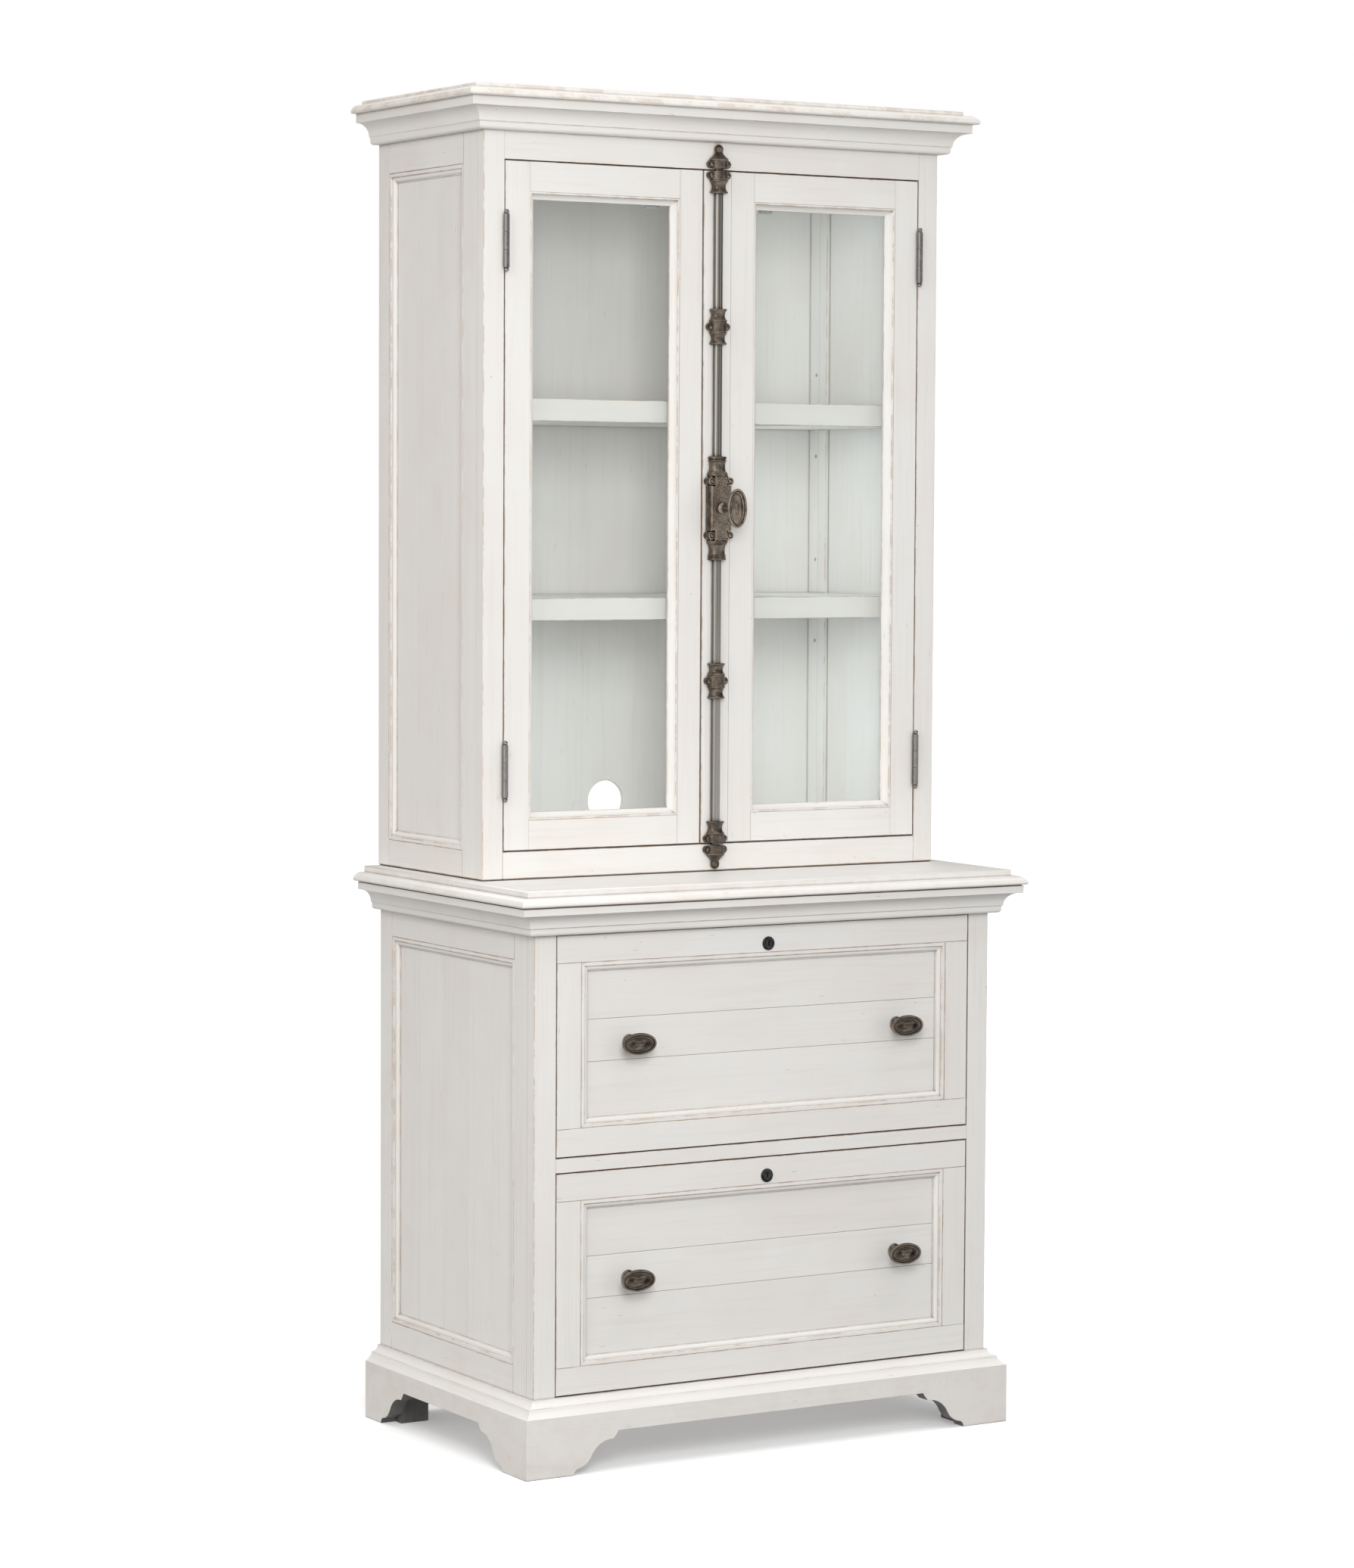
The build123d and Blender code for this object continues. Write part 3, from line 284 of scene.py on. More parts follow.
def metal(name, dark, bright, roughness, hammered=False, blotches=1.0, edge=0.75):
    """Aged metal. Its raised edges are rubbed to the bright colour, and its hollows stay dark.

    `roughness` is its least and most, `blotches` how uneven it is, `edge` how far its edges are rubbed."""
    s = material(name)
    place = s.attribute("grain_pos", "Vector")
    wear = s.attribute("wear")
    cloud = s.noise(place, 95.0, 3.0, 0.6)
    fine = s.noise(place, 620.0, 2.0, 0.5)
    middle = tuple(0.55 * a + 0.45 * b for a, b in zip(dark, bright))
    colour = s.mix(s.ramp(cloud, 0.35, 0.72, 0.5 - 0.5 * blotches, 0.5 + 0.5 * blotches), dark, middle)
    rubbed = s.math("MULTIPLY", s.ramp(cloud, 0.25, 0.60, 0.35, 1.0), wear)
    colour = s.mix(s.math("MULTIPLY", rubbed, edge), colour, bright)
    hollow = s.math("MULTIPLY", s.hollows(0.003, 0.25, 0.75), 0.8)
    colour = s.mix(hollow, colour, tuple(0.35 * c for c in dark))
    colour = s.mix(s.math("MULTIPLY", s.attribute("tone"), 0.6), colour, tuple(0.45 * c for c in dark))
    height = s.math("MULTIPLY", fine, 0.25)
    if hammered:
        dimple = s.cells(place, 780.0, 0.9, "SMOOTH_F1")
        high = s.math("MULTIPLY", s.ramp(dimple, 0.25, 0.62), s.attribute("stipple"))
        colour = s.mix(s.math("MULTIPLY", high, 0.45), colour, bright)
        height = s.math("ADD", height, s.math("MULTIPLY", high, 2.6))
    values = {"Base Color": colour, "Metallic": 1.0, "Roughness": s.ramp(cloud, 0.3, 0.7, *roughness),
              "Normal": s.bump(height, 0.0002, 0.8)}
    return s.finish("BsdfPrincipled", values)


def drawn_metal(name, colour, streak, roughness):
    """Polished bar with fine lines along its length, and painted shade where it lies close to other pieces.
    """
    s = material(name)
    place = s.attribute("grain_pos", "Vector")
    fine = s.noise(s.stretched(place, 1.5, 1500.0), 1.0, 2.0, 0.5)
    broad = s.noise(s.stretched(place, 0.6, 420.0), 1.0, 2.0, 0.5)
    tint = s.mix(s.ramp(broad, 0.35, 0.70), colour, streak)
    # painted shade: darker within 18 mm of other pieces
    painted_shade_near = s.math("MULTIPLY", s.hollows(0.018, 0.40, 0.93), 0.95)
    tint = s.mix(painted_shade_near, tint, tuple(0.16 * c for c in colour))
    values = {"Base Color": tint, "Metallic": 1.0, "Roughness": s.ramp(fine, 0.3, 0.7, *roughness),
              "Normal": s.bump(fine, 0.00002, 0.5)}
    return s.finish("BsdfPrincipled", values)


def zinc_steel():
    """Brushed steel with the faint cells of zinc plating."""
    s = material("zinc_steel")
    place = s.attribute("grain_pos", "Vector")
    spangle = s.cells(place, 170.0)
    brushed = s.noise(s.stretched(place, 20.0, 900.0), 1.0, 2.0, 0.5)
    colour = s.mix(s.ramp(spangle, 0.1, 0.8), (0.60, 0.61, 0.62), (0.44, 0.45, 0.47))
    colour = s.mix(s.ramp(brushed, 0.45, 0.75, 0.0, 0.4), colour, (0.33, 0.34, 0.35))
    values = {"Base Color": colour, "Metallic": 1.0, "Roughness": s.ramp(brushed, 0.3, 0.7, 0.28, 0.42),
              "Normal": s.bump(brushed, 0.0001, 0.4)}
    return s.finish("BsdfPrincipled", values)


def catch_plastic():
    """Pale, finely grained plastic."""
    s = material("catch_plastic")
    place = s.attribute("grain_pos", "Vector")
    grain = s.noise(place, 900.0, 2.0, 0.5)
    cloud = s.noise(place, 60.0, 2.0, 0.5)
    colour = s.mix(s.ramp(cloud, 0.3, 0.7), (0.62, 0.60, 0.56), (0.52, 0.50, 0.46))
    values = {"Base Color": colour, "Roughness": s.ramp(grain, 0.3, 0.7, 0.42, 0.58),
              "Normal": s.bump(grain, 0.00012, 0.5)}
    return s.finish("BsdfPrincipled", values)


def clear_glass():
    """Clear, faintly wavy panes. They mirror little from the front and much from the side."""
    s = material("clear_glass")
    place = s.attribute("grain_pos", "Vector")
    wave = s.noise(place, 7.0, 2.0, 0.5)
    normal = s.bump(wave, 0.0004, 0.6)
    clear = s.add("BsdfTransparent", {"Color": (0.985, 0.993, 0.988)}).outputs[0]
    shine = s.add("BsdfGlossy", {"Color": (1.0, 1.0, 1.0), "Roughness": 0.03, "Normal": normal}).outputs[0]
    facing = s.add("LayerWeight", {"Blend": 0.5}).outputs["Facing"]
    share = s.math("ADD", s.math("MULTIPLY", s.math("POWER", facing, 5.0), 0.97), 0.03)
    return s.finish("MixShader", {0: share, 1: clear, 2: shine})


MATERIALS = {
    "painted_wood": painted_wood(),
    "bare_wood": bare_wood(),
    "clear_glass": clear_glass(),
    "antique_bronze": metal("antique_bronze", (0.085, 0.070, 0.058), (0.46, 0.385, 0.31), (0.27, 0.42),
                            hammered=True, blotches=0.7, edge=0.85),
    "gunmetal_rod": drawn_metal("gunmetal_rod", (0.27, 0.26, 0.235), (0.35, 0.335, 0.31), (0.15, 0.20)),
    "hinge_metal": metal("hinge_metal", (0.20, 0.19, 0.19), (0.47, 0.45, 0.45), (0.24, 0.34), blotches=0.4),
    "lock_metal": metal("lock_metal", (0.018, 0.018, 0.019), (0.12, 0.12, 0.125), (0.28, 0.42)),
    "zinc_steel": zinc_steel(),
    "catch_plastic": catch_plastic(),
}


# ---------------------------------------------------------------- boards from the CAD solids
def solids_in(node):
    """The closed solids of a CAD node, each a list of triangles of points.

    Triangles are taken in their own order. A solid is complete when each of its edges has its opposite."""
    mesh = frame["nodes"][node].data
    corners = [tuple(round(c, 6) for c in vertex.co) for vertex in mesh.vertices]
    found, triangles, open_edges = [], [], {}
    for polygon in mesh.polygons:
        points = [corners[i] for i in polygon.vertices]
        if len(set(points)) < 3:
            continue
        triangles.append(points)
        for a, b in zip(points, points[1:] + points[:1]):
            if open_edges.get((b, a)):
                open_edges[(b, a)] -= 1
                if not open_edges[(b, a)]:
                    del open_edges[(b, a)]
            else:
                open_edges[(a, b)] = open_edges.get((a, b), 0) + 1
        if not open_edges:
            found.append(triangles)
            triangles = []
    if triangles:
        found.append(triangles)
    return found


SOLIDS = {node: solids_in(node) for node in frame["nodes"]}


def body_tree(body):
    """A search tree over all solids of a body, and the solid that each of its faces belongs to."""
    points, faces, owners = [], [], []
    for node, owner_body in BODY_OF.items():
        if owner_body != body:
            continue
        for index, solid in enumerate(SOLIDS[node]):
            for triangle in solid:
                faces.append(tuple(range(len(points), len(points) + 3)))
                points.extend(triangle)
                owners.append((node, index))
    return BVHTree.FromPolygons(points, faces), owners


TREES = {body: body_tree(body) for body in frame["bodies"]}


def welded(triangles):
    """One solid as a bmesh with shared vertices and whole flat faces."""
    bm = bmesh.new()
    made = {}
    for triangle in triangles:
        for point in triangle:
            if point not in made:
                made[point] = bm.verts.new(point)
        bm.faces.new([made[point] for point in triangle])
    bm.normal_update()
    bmesh.ops.dissolve_limit(bm, angle_limit=math.radians(0.5), verts=bm.verts, edges=bm.edges)
    bm.normal_update()
    return bm


def lies_on_ledge(edge):
    """True for an edge at the level of the top or the underside of the base's top board."""
    return any(all(abs(v.co.z - level) < 0.1 * MM for v in edge.verts) for level in LEDGES)


def bevel(bm, edges, width, segments, layer, value):
    """Bevel edges, and write a value into a face layer for each face that this makes."""
    made = bmesh.ops.bevel(bm, geom=edges, offset=width, segments=segments, offset_type="OFFSET", profile=0.5,
                           affect="EDGES", clamp_overlap=True)
    for face in made["faces"]:
        face[layer] = value
    bm.normal_update()


def softened(triangles, width, owner, body):
    """A solid with its edges bevelled. Face layers tell the worn outer edges from the seams.

    An edge that lies on another board of the same body is a joint, and gets a plain chamfer: a narrow one, or
    a wide one where the hutch and the cove meet the base's top board. Edges that are only a few bevels long
    stay as they are."""
    bm = welded(triangles)
    worn = bm.faces.layers.float.new("wear")
    seam = bm.faces.layers.float.new("seam")
    if not width:
        return bm
    tree, owners = TREES[body]

    def is_free(edge):
        middle = (edge.verts[0].co + edge.verts[1].co) / 2
        return all(owners[hit[2]] == owner for hit in tree.find_nearest_range(middle, SEAM_REACH))

    def convex(least, length):
        return [e for e in bm.edges if len(e.link_faces) == 2 and e.calc_face_angle_signed(0.0) > least
                and e.calc_length() > length]

    ledge = [e for e in convex(SQUARE, 4 * LEDGE_BEVEL) if lies_on_ledge(e) and not is_free(e)]
    # these ledge chamfers are darkened fully: painted shadow in the gap
    bevel(bm, ledge, LEDGE_BEVEL, 1, seam, 1.0)
    bevel(bm, [e for e in convex(SHARP, 3 * width) if is_free(e)], width, 2, worn, 1.0)
    bevel(bm, convex(SQUARE, 4 * SEAM_BEVEL), min(SEAM_BEVEL, width), 1, seam, SEAM_DARKNESS)
    return bm


def is_stained(node, face):
    """True for the dark faces under the base: the corner blocks, and the inside of the plinth boards."""
    if node == "corner_blocks":
        return True
    if node != "plinth_boards":
        return False
    low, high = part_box("plinth_boards")
    middle = face.calc_center_median()
    outside = min(middle.x - low.x, high.x - middle.x, middle.y - low.y, high.y - middle.y)
    return outside > 1.5 * MM


def add_grain(mesh, places):
    """Store where each point lies in the grain: along the board, across it and through it, in metres."""
    data = mesh.attributes.new("grain_pos", "FLOAT_VECTOR", "POINT").data
    data.foreach_set("vector", [c for place in places for c in place])


def add_object(name, mesh, slot, smooth_angle):
    """An object of its own with a material, smooth but for edges that bend more than an angle in degrees."""
    mesh.shade_smooth()
    mesh.set_sharp_from_angle(angle=math.radians(smooth_angle))
    mesh.materials.append(MATERIALS[slot])
    obj = bpy.data.objects.new(name, mesh)
    bpy.context.scene.collection.objects.link(obj)
    return obj


class Mesh:
    """Points, faces and surface attributes gathered for one piece."""

    def __init__(self):
        self.points, self.faces, self.grain, self.tone = [], [], [], []
        self.of_faces = {name: [] for name in ("wear", "seam", "stipple", "painted_brightness", "stain")}

    def add_solid(self, bm, node):
        low = Vector([min(v.co[i] for v in bm.verts) for i in range(3)])
        high = Vector([max(v.co[i] for v in bm.verts) for i in range(3)])
        size = high - low
        axis = max(range(3), key=lambda i: size[i])
        order = (axis, (axis + 1) % 3, (axis + 2) % 3)
        shift = Vector([CHANCE.uniform(0, 40) for _ in range(3)])
        tone = CHANCE.random() if SLOT_OF[node] in WOOD_SLOTS else DARKER_METAL.get(node, 0.0)
        worn, seam = bm.faces.layers.float["wear"], bm.faces.layers.float["seam"]
        first = len(self.points)
        for index, vertex in enumerate(bm.verts):
            vertex.index = index
            self.points.append(tuple(vertex.co))
            self.grain.append(Vector([vertex.co[i] for i in order]) + shift)
            self.tone.append(tone)
        for face in bm.faces:
            self.faces.append([first + v.index for v in face.verts])
            # rim tint: wear, and painted shade on the plinth and the cornice's top board
            rim = RUBBED_AND_SHADED_RIMS.get(node, 0.0) if abs(face.normal.z) < 0.7 else 0.0
            stippled = node == "bolt_case" and face.normal.y < -0.9 and face.calc_area() > STIPPLED_AREA
            values = {"wear": max(face[worn], rim), "seam": face[seam], "stipple": float(stippled),
                      "painted_brightness": float(node in BRIGHTENED_SHELVES), "stain": float(is_stained(node, face))}
            for name, value in values.items():
                self.of_faces[name].append(value)

    def piece(self, name, slot, smooth_angle):
        mesh = bpy.data.meshes.new(name)
        mesh.from_pydata(self.points, [], self.faces)
        add_grain(mesh, self.grain)
        mesh.attributes.new("tone", "FLOAT", "POINT").data.foreach_set("value", self.tone)
        for attribute, values in self.of_faces.items():
            mesh.attributes.new(attribute, "FLOAT", "FACE").data.foreach_set("value", values)
        obj = add_object(name, mesh, slot, smooth_angle)
        normals = obj.modifiers.new("normals", "WEIGHTED_NORMAL")
        normals.keep_sharp = True
        normals.weight = 60
        return obj


def rebuild(node):
    """A CAD node rebuilt board by board, in its place on its body."""
    slot = SLOT_OF[node]
    width = BEVEL.get(node, BOARD_BEVEL) * MM
    mesh = Mesh()
    for index, solid in enumerate(SOLIDS[node]):
        bm = softened(solid, width, (node, index), BODY_OF[node])
        mesh.add_solid(bm, node)
        bm.free()
    obj = mesh.piece("look_" + node, slot, 50.0 if slot in WOOD_SLOTS else 38.0)
    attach(obj, BODY_OF[node])
    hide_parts(node)


# ---------------------------------------------------------------- cast hardware
def cast(name, shells, body, replaced=None, darker=0.0):
    """One bronze piece from closed shells of points and faces. Its outward edges are marked as worn."""
    slot = "antique_bronze"
    bm = bmesh.new()
    for points, faces in shells:
        verts = [bm.verts.new(p) for p in points]
        for face in faces:
            bm.faces.new([verts[i] for i in face])
    bmesh.ops.remove_doubles(bm, verts=bm.verts, dist=0.00001)
    bmesh.ops.recalc_face_normals(bm, faces=bm.faces)
    bm.normal_update()
    wear = []
    for vertex in bm.verts:
        away = [(vertex.co - edge.other_vert(vertex).co).normalized() for edge in vertex.link_edges]
        bend = sum(direction.dot(vertex.normal) for direction in away) / len(away)
        wear.append(min(1.0, max(0.0, 4.0 * bend - 0.15)))
    mesh = bpy.data.meshes.new(name)
    bm.to_mesh(mesh)
    bm.free()
    shift = Vector([CHANCE.uniform(0, 40) for _ in range(3)])
    add_grain(mesh, [vertex.co + shift for vertex in mesh.vertices])
    mesh.attributes.new("wear", "FLOAT", "POINT").data.foreach_set("value", wear)
    mesh.attributes.new("tone", "FLOAT", "POINT").data.foreach_set("value", [darker] * len(mesh.vertices))
    obj = add_object(name, mesh, slot, 48.0)
    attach(obj, body)
    if replaced:
        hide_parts(replaced)


def skin(rings):
    """Closed shell over rings that have the same number of points."""
    count = len(rings[0])
    points = [p for ring in rings for p in ring]
    faces = []
    for first in range(0, len(points) - count, count):
        for i in range(count):
            j = (i + 1) % count
            faces.append((first + i, first + j, first + count + j, first + count + i))
    faces.append(tuple(range(count)))
    faces.append(tuple(range(len(points) - count, len(points))))
    return points, faces


def oval(centre, half, ahead, ripple=0.0, waves=0, phase=0.0, count=144):
    """Ring in the XZ plane, `ahead` in front of the centre. All sizes are in mm but the centre's."""
    ring = []
    for index in range(count):
        angle = 2 * math.pi * index / count
        lift = ahead + ripple * math.cos(waves * angle + phase)
        ring.append((centre[0] + half[0] * math.cos(angle) * MM, centre[1] - lift * MM,
                     centre[2] + half[1] * math.sin(angle) * MM))
    return ring


def knob_rings(centre, half, reach, foot):
    """Oval knob with a raised rim, a rope border, rays and a boss.

    `foot` is its turned foot, as pairs of radius and distance ahead of the centre. `back` is always how far a
    ring lies behind the front of the knob, and `inset` how far inside its outline."""
    wide, high = half
    field = (wide - 8.0, high - 8.0)
    rings = [oval(centre, (radius, radius), ahead) for radius, ahead in foot]
    for share, back in ((0.50, 11.2), (0.72, 9.4), (0.88, 7.0), (0.97, 4.4)):
        rings.append(oval(centre, (wide * share, high * share), reach - back))
    rim = ((0.0, 2.8), (0.1, 1.4), (0.8, 0.35), (1.7, 0.0), (2.6, 0.4), (3.2, 1.4), (3.5, 2.4), (3.9, 2.5))
    for inset, back in rim:
        rings.append(oval(centre, (wide - inset, high - inset), reach - back))
    rope = ((4.2, 2.3, 0.15), (4.7, 1.7, 0.40), (5.3, 1.45, 0.45), (5.9, 1.7, 0.40), (6.4, 2.3, 0.15))
    for step, (inset, back, ripple) in enumerate(rope):
        rings.append(oval(centre, (wide - inset, high - inset), reach - back, ripple, WAVES, 0.9 * step))
    for inset, back in ((6.8, 2.5), (7.2, 1.9), (7.7, 1.8), (8.0, 2.4)):
        rings.append(oval(centre, (wide - inset, high - inset), reach - back))
    rays = ((0.97, 2.3, 0.25), (0.84, 1.7, 0.30), (0.68, 1.2, 0.28), (0.50, 0.9, 0.20), (0.36, 0.8, 0.10))
    boss = ((0.33, 0.9, 0.0), (0.30, 0.4, 0.0), (0.22, 0.15, 0.0), (0.12, 0.05, 0.0), (0.04, 0.0, 0.0))
    for share, back, ripple in rays + boss:
        rings.append(oval(centre, (field[0] * share, field[1] * share), reach - back, ripple, WAVES))
    return skin(rings)


def slotted_head(centre, radius, rim, rise, turn):
    """Round screw head with a slot, facing -Y. Sizes are in mm, and `turn` is the slot's angle in degrees.

    Within the head, x and z go from -1 to 1. Two columns at the slot's walls, one at each level, make it."""
    slot = 0.17     # half the slot's width
    columns = [(x, False) for x in (-1.0, -0.93, -0.75, -0.5, -0.3, -slot)]
    columns += [(-slot, True), (slot, True)]
    columns += [(x, False) for x in (slot, 0.3, 0.5, 0.75, 0.93, 1.0)]
    rows = 11
    angle = math.radians(turn)
    bm = bmesh.new()
    grid = []
    for x, floor in columns:
        line = []
        for row in range(rows):
            z = (2 * row / (rows - 1) - 1) * math.sqrt(max(0.0, 1 - x * x))
            lift = rim + rise * (1 - x * x - z * z)
            lift = 0.4 * rim if floor else lift
            across = (x * math.cos(angle) - z * math.sin(angle)) * radius * MM
            upward = (x * math.sin(angle) + z * math.cos(angle)) * radius * MM
            line.append(bm.verts.new((centre[0] + across, centre[1] - lift * MM, centre[2] + upward)))
        grid.append(line)
    for first, second in zip(grid, grid[1:]):
        for row in range(rows - 1):
            bm.faces.new((first[row], first[row + 1], second[row + 1], second[row]))
    bmesh.ops.remove_doubles(bm, verts=bm.verts, dist=0.000005)
    border = [e for e in bm.edges if len(e.link_faces) == 1]
    made = bmesh.ops.extrude_edge_only(bm, edges=border)["geom"]
    for vertex in made:
        if isinstance(vertex, bmesh.types.BMVert):
            vertex.co.y = centre[1]
    bmesh.ops.holes_fill(bm, edges=[e for e in bm.edges if len(e.link_faces) == 1])
    bm.verts.index_update()
    shell = ([tuple(v.co) for v in bm.verts], [tuple(v.index for v in f.verts) for f in bm.faces])
    bm.free()
    return shell


def domed_stud(centre):
    """Round stud: a raised ring, a groove and a dome."""
    steps = ((5.7, -0.6), (5.7, 0.6), (5.3, 1.3), (4.6, 1.6), (4.1, 1.3), (3.8, 0.5), (3.4, 0.3), (3.2, 0.7),
             (3.0, 1.5), (2.4, 2.3), (1.5, 2.8), (0.6, 3.0))
    return skin([oval(centre, (radius, radius), ahead, count=40) for radius, ahead in steps])


def make_drawer_knobs(drawer):
    node = drawer + "_drawer_knobs"
    low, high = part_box(node)
    half = (28.0, 16.0)
    reach = (high.y - low.y) / MM
    foot = ((10.5, 0.0), (11.0, 0.9), (10.2, 2.0), (7.6, 3.2), (6.2, 6.0), (6.0, 12.0), (6.6, reach - 15.0),
            (9.0, reach - 12.4))
    level = (low.z + high.z) / 2
    centres = [(x, high.y, level) for x in (low.x + half[0] * MM, high.x - half[0] * MM)]
    shells = [knob_rings(centre, half, reach, foot) for centre in centres]
    cast("knobs_" + drawer, shells, BODY_OF[node], node, DARKER_KNOBS)


def make_bolt_knob():
    low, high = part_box("bolt_knob")
    centre = ((low.x + high.x) / 2, high.y, (low.z + high.z) / 2)
    reach = (high.y - low.y) / MM
    collar = (high.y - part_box("bolt_case")[0].y) / MM + 0.1
    foot = ((4.9, 0.0), (4.9, collar), (8.6, collar), (9.4, collar + 1.2), (9.4, collar + 2.6),
            (8.4, collar + 4.4), (6.2, collar + 6.0), (5.2, collar + 9.0), (5.4, reach - 22.0),
            (6.6, reach - 16.0), (7.6, reach - 12.6))
    cast("knob_bolt", [knob_rings(centre, (16.5, 29.0), reach, foot)], BODY_OF["bolt_knob"], "bolt_knob")


def lug_spot(solid):
    """Centre height and front of the screw lugs at the sides of a guide or keeper."""
    points = [p for triangle in solid for p in triangle if abs(p[0]) > LUG_REACH * MM]
    levels = [p[2] for p in points]
    return (min(levels) + max(levels)) / 2, min(p[1] for p in points)


def make_lug_screws(node):
    """Two screws for each guide or keeper. The keepers also get one in each ball tip."""
    shells = []
    for solid in SOLIDS[node]:
        z, front = lug_spot(solid)
        for side in (-1, 1):
            place = (side * LUG_X * MM, front - 0.6 * MM, z)
            shells.append(slotted_head(place, 3.5, 0.9, 1.1, CHANCE.uniform(20, 160)))
    if node == "bolt_keepers":
        low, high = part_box(node)
        for z in (high.z - TIP_DROP * MM, low.z + TIP_DROP * MM):
            place = (0.0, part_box("upper_rod")[0].y + 1.2 * MM, z)
            shells.append(slotted_head(place, 3.0, 0.9, 0.8, CHANCE.uniform(20, 160)))
    cast("screws_" + node, shells, BODY_OF[node])


def make_case_studs():
    low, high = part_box("bolt_case")
    middle = (low + high) / 2
    shells = []
    for side in (-1, 1):
        for up in (-1, 1):
            x = middle.x + side * STUD_SPOT[0] * MM
            z = middle.z + up * STUD_SPOT[1] * MM
            shells.append(domed_stud((x, low.y + STUD_PROUD * MM, z)))
    cast("studs_bolt_case", shells, BODY_OF["bolt_case"])


CAST_NODES = ("upper_drawer_knobs", "lower_drawer_knobs", "bolt_knob")
for node_name in sorted(frame["nodes"]):
    if node_name not in CAST_NODES:
        rebuild(node_name)
make_drawer_knobs("upper")
make_drawer_knobs("lower")
make_bolt_knob()
make_lug_screws("bolt_guides")
make_lug_screws("bolt_keepers")
make_case_studs()


# ---------------------------------------------------------------- studio
def make_stage():
    """White floor, which throws no light back at the object."""
    bm = bmesh.new()
    bmesh.ops.create_grid(bm, x_segments=2, y_segments=2, size=30.0)
    mesh = bpy.data.meshes.new("floor")
    bm.to_mesh(mesh)
    bm.free()
    values = {"Base Color": (0.90, 0.90, 0.90), "Roughness": 0.9, "Emission Color": (1.0, 1.0, 1.0),
              "Emission Strength": 0.24}
    mesh.materials.append(material("pale_floor").finish("BsdfPrincipled", values))
    floor = bpy.data.objects.new("floor", mesh)
    floor.location.z = cad_bounds[0][2] - 0.2 * MM
    floor.visible_diffuse = False
    bpy.context.scene.collection.objects.link(floor)


def make_world():
    """White behind the object, dim light on it, and bright strips at its left for the metal to mirror.

    The strips are pairs of a bearing in degrees, 0 being the front and -90 the left, and a brightness."""
    world = bpy.data.worlds.new("studio")
    s = Shader(world)
    parts = s.add("SeparateXYZ", {0: s.add("TexCoord").outputs["Generated"]}).outputs
    bearing = s.math("ARCTAN2", parts["X"], s.math("MULTIPLY", parts["Y"], -1.0))
    share = s.add("MapRange", {"Value": bearing, "From Min": -math.pi, "From Max": math.pi}).outputs["Result"]
    strips = s.add("ValToRGB", {"Fac": share})
    stops = ((-180, 0.12), (-125, 0.16), (-112, 0.70), (-98, 0.70), (-88, 0.26), (-80, 0.26), (-72, 0.95),
             (-56, 0.95), (-50, 0.32), (-44, 0.32), (-38, 0.90), (-24, 0.90), (-12, 0.28), (12, 0.12),
             (90, 0.08), (180, 0.12))
    elements = strips.color_ramp.elements
    while len(elements) < len(stops):
        elements.new(0.5)
    for element, (degrees, grey) in zip(elements, stops):
        element.position = (degrees + 180) / 360
        element.color = (grey, grey, grey, 1.0)
    rise = {"Value": parts["Z"], "From Min": -0.25, "From Max": 0.35, "To Min": 0.30, "To Max": 0.51}
    strength = s.add("MapRange", rise).outputs["Result"]
    white = (1.0, 1.0, 1.0)
    soft = s.add("Background", {"Color": white, "Strength": strength}).outputs[0]
    mirrored = s.add("Background", {"Color": strips.outputs["Color"], "Strength": 1.0}).outputs[0]
    seen = s.add("Background", {"Color": white, "Strength": 1.0}).outputs[0]
    ray = s.add("LightPath").outputs
    lit = s.add("MixShader", {0: ray["Is Glossy Ray"], 1: soft, 2: mirrored}).outputs[0]
    both = s.add("MixShader", {0: ray["Is Camera Ray"], 1: lit, 2: seen}).outputs[0]
    s.add("OutputWorld", {"Surface": both})
    bpy.context.scene.world = world


def add_lamp(data, name, place, direction):
    """Put a lamp at a place. `direction` points from the object back to the lamp."""
    lamp = bpy.data.objects.new(name, data)
    lamp.location = place
    lamp.rotation_euler = Vector(direction).to_track_quat("Z", "Y").to_euler()
    bpy.context.scene.collection.objects.link(lamp)
    return lamp


def far_light(name, direction, strength, spread, tint=(1.0, 1.0, 1.0)):
    """A distant lamp. `spread` is its softness in degrees."""
    data = bpy.data.lights.new(name, "SUN")
    data.energy = strength
    data.angle = math.radians(spread)
    data.color = tint
    add_lamp(data, name, Vector(direction) * 3.0, direction)


def panel_light(name, place, direction, size, power, tint=(1.0, 1.0, 1.0), mirrored=False):
    """A rectangular lamp of size (width, height). Metal and glass show it only if it is `mirrored`."""
    data = bpy.data.lights.new(name, "AREA")
    data.shape = "RECTANGLE"
    data.size, data.size_y = size
    data.energy = power
    data.color = tint
    lamp = add_lamp(data, name, place, direction)
    lamp.visible_camera = False
    lamp.visible_glossy = mirrored


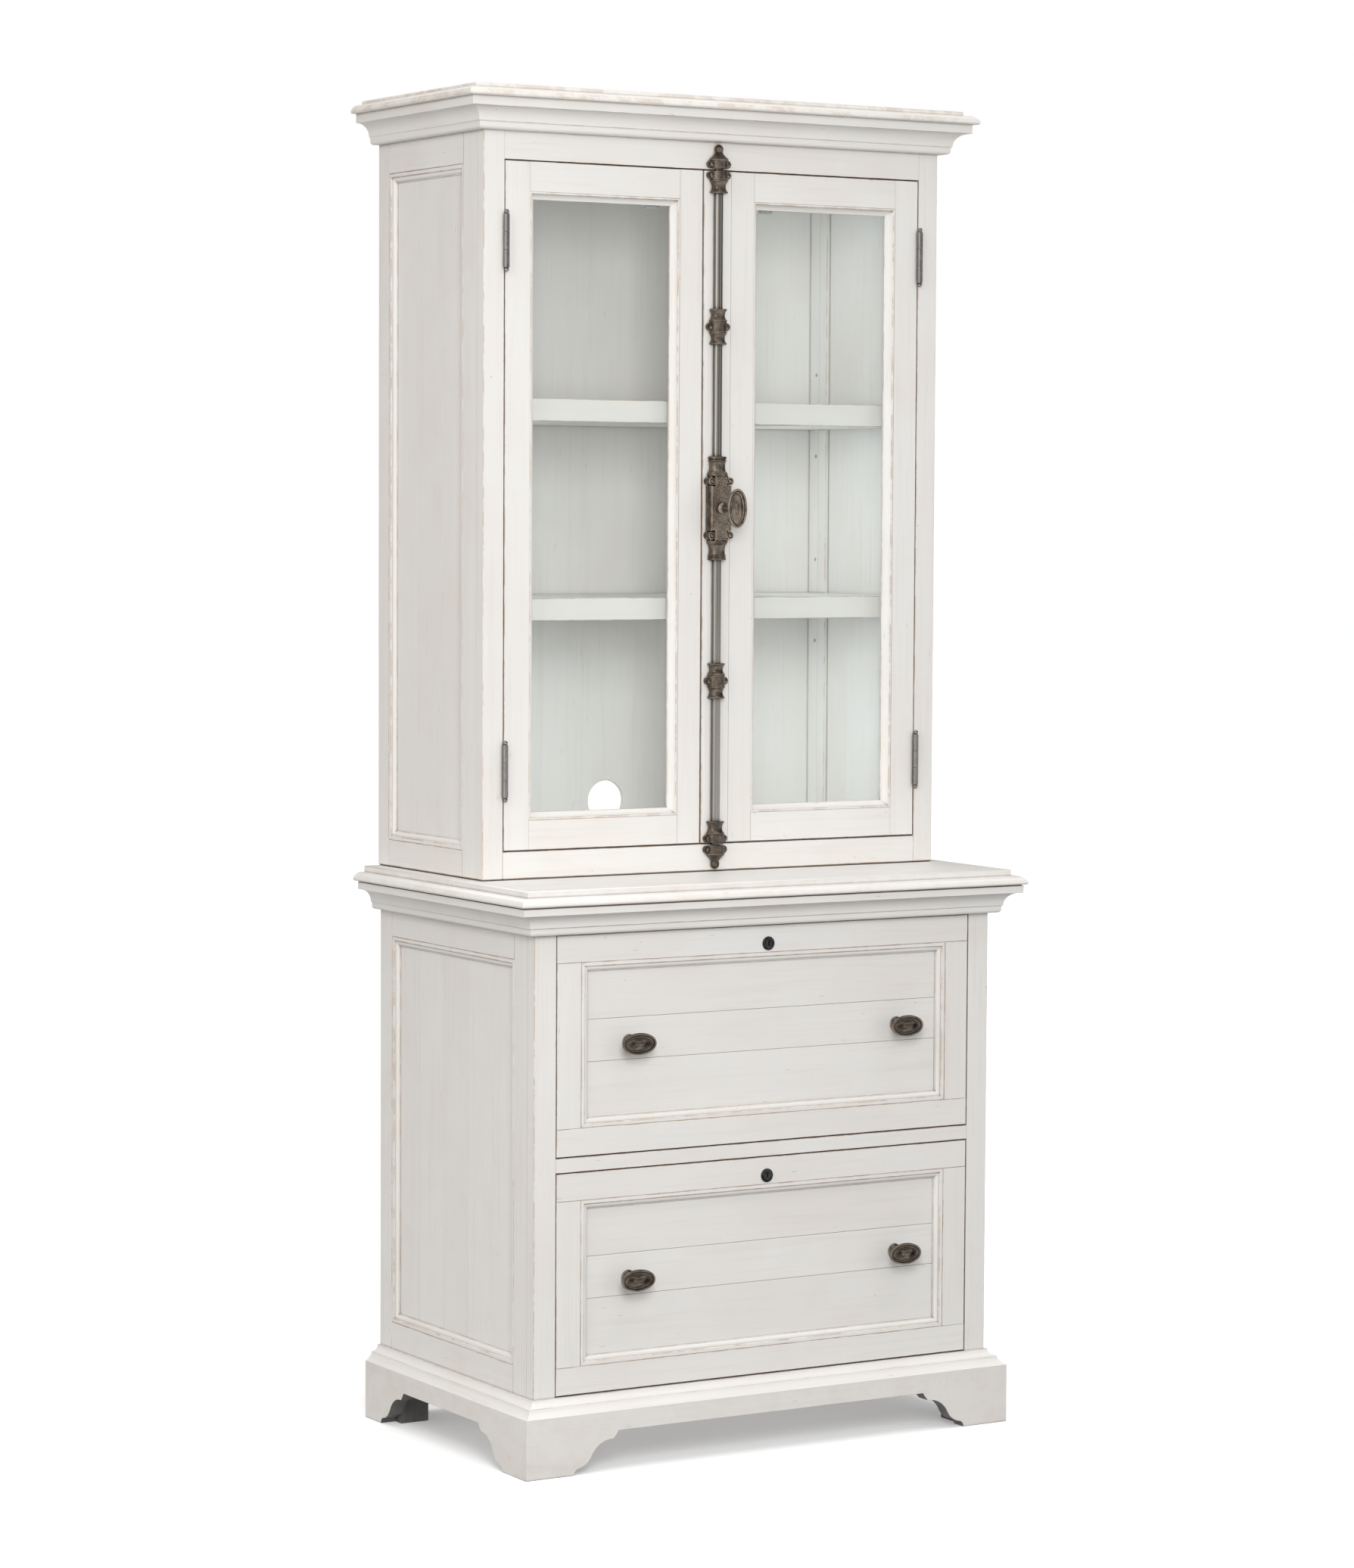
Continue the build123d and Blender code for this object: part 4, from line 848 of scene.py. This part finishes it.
def make_room_lights():
    middle = (Vector(cad_bounds[0]) + Vector(cad_bounds[1])) / 2
    front_place = middle + Vector((-1.50, -2.80, 0.80))
    panel_light("front_light", front_place, (-0.47, -0.87, 0.06), (0.9, 1.3), 58.0)
    sparks = {"spark_left_light": (-0.72, -0.43, 0.55), "spark_front_light": (-0.16, -0.81, 0.55)}
    for name, direction in sparks.items():
        panel_light(name, middle + 3.2 * Vector(direction), direction, (0.30, 0.45), 4.0, mirrored=True)
    far_light("left_light", (-0.95, -0.15, 0.22), 0.98, 60.0, (1.0, 0.945, 0.89))
    far_light("right_light", (0.55, -0.80, 0.30), 0.30, 50.0)
    far_light("top_light", (0.05, -0.08, 0.99), 1.25, 50.0)


def make_inside_lights():
    """Weak cool lamps in each space above, between and below the shelves, two in each. They face right."""
    low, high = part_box("hutch_floor_and_ceiling")
    front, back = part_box("hutch_face_frame")[1].y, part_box("hutch_back")[0].y
    shelves = [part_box(node) for node in ("upper_shelf", "lower_shelf")]
    levels = sorted([low.z, high.z] + [corner.z for box in shelves for corner in box])
    cool = (0.84, 0.94, 1.0)
    for number, (floor, ceiling) in enumerate(zip(levels[::2], levels[1::2]), 1):
        size = (0.6 * (back - front), 0.6 * (ceiling - floor))
        for side, x, power in (("left", 0.97 * low.x, 0.38 / number), ("right", 0.42 * high.x, 0.22)):
            name = f"inside_{side}_light_{number}"
            place = Vector((x, (front + back) / 2, (floor + ceiling) / 2))
            panel_light(name, place, (-1.0, 0.0, 0.0), size, power, cool)


def make_camera():
    """A camera at the photo's viewing angle, and the plain view transform that its white needs."""
    data = bpy.data.cameras.new("camera")
    data.lens = 98.83
    data.sensor_width = 36.0
    camera = bpy.data.objects.new("camera", data)
    place = (-3.3285, -5.5246, 1.3729)
    forward = Vector((0.51223, 0.85653, -0.06307)).normalized()
    upward = Vector((0.02791, 0.05680, 0.99800))
    right = forward.cross(upward).normalized()
    turn = Matrix((right, right.cross(forward), -forward)).transposed().to_4x4()
    camera.matrix_world = Matrix.Translation(place) @ turn
    bpy.context.scene.collection.objects.link(camera)
    bpy.context.scene.camera = camera
    bpy.context.scene.view_settings.view_transform = "Standard"


make_stage()
make_world()
make_room_lights()
make_inside_lights()
make_camera()
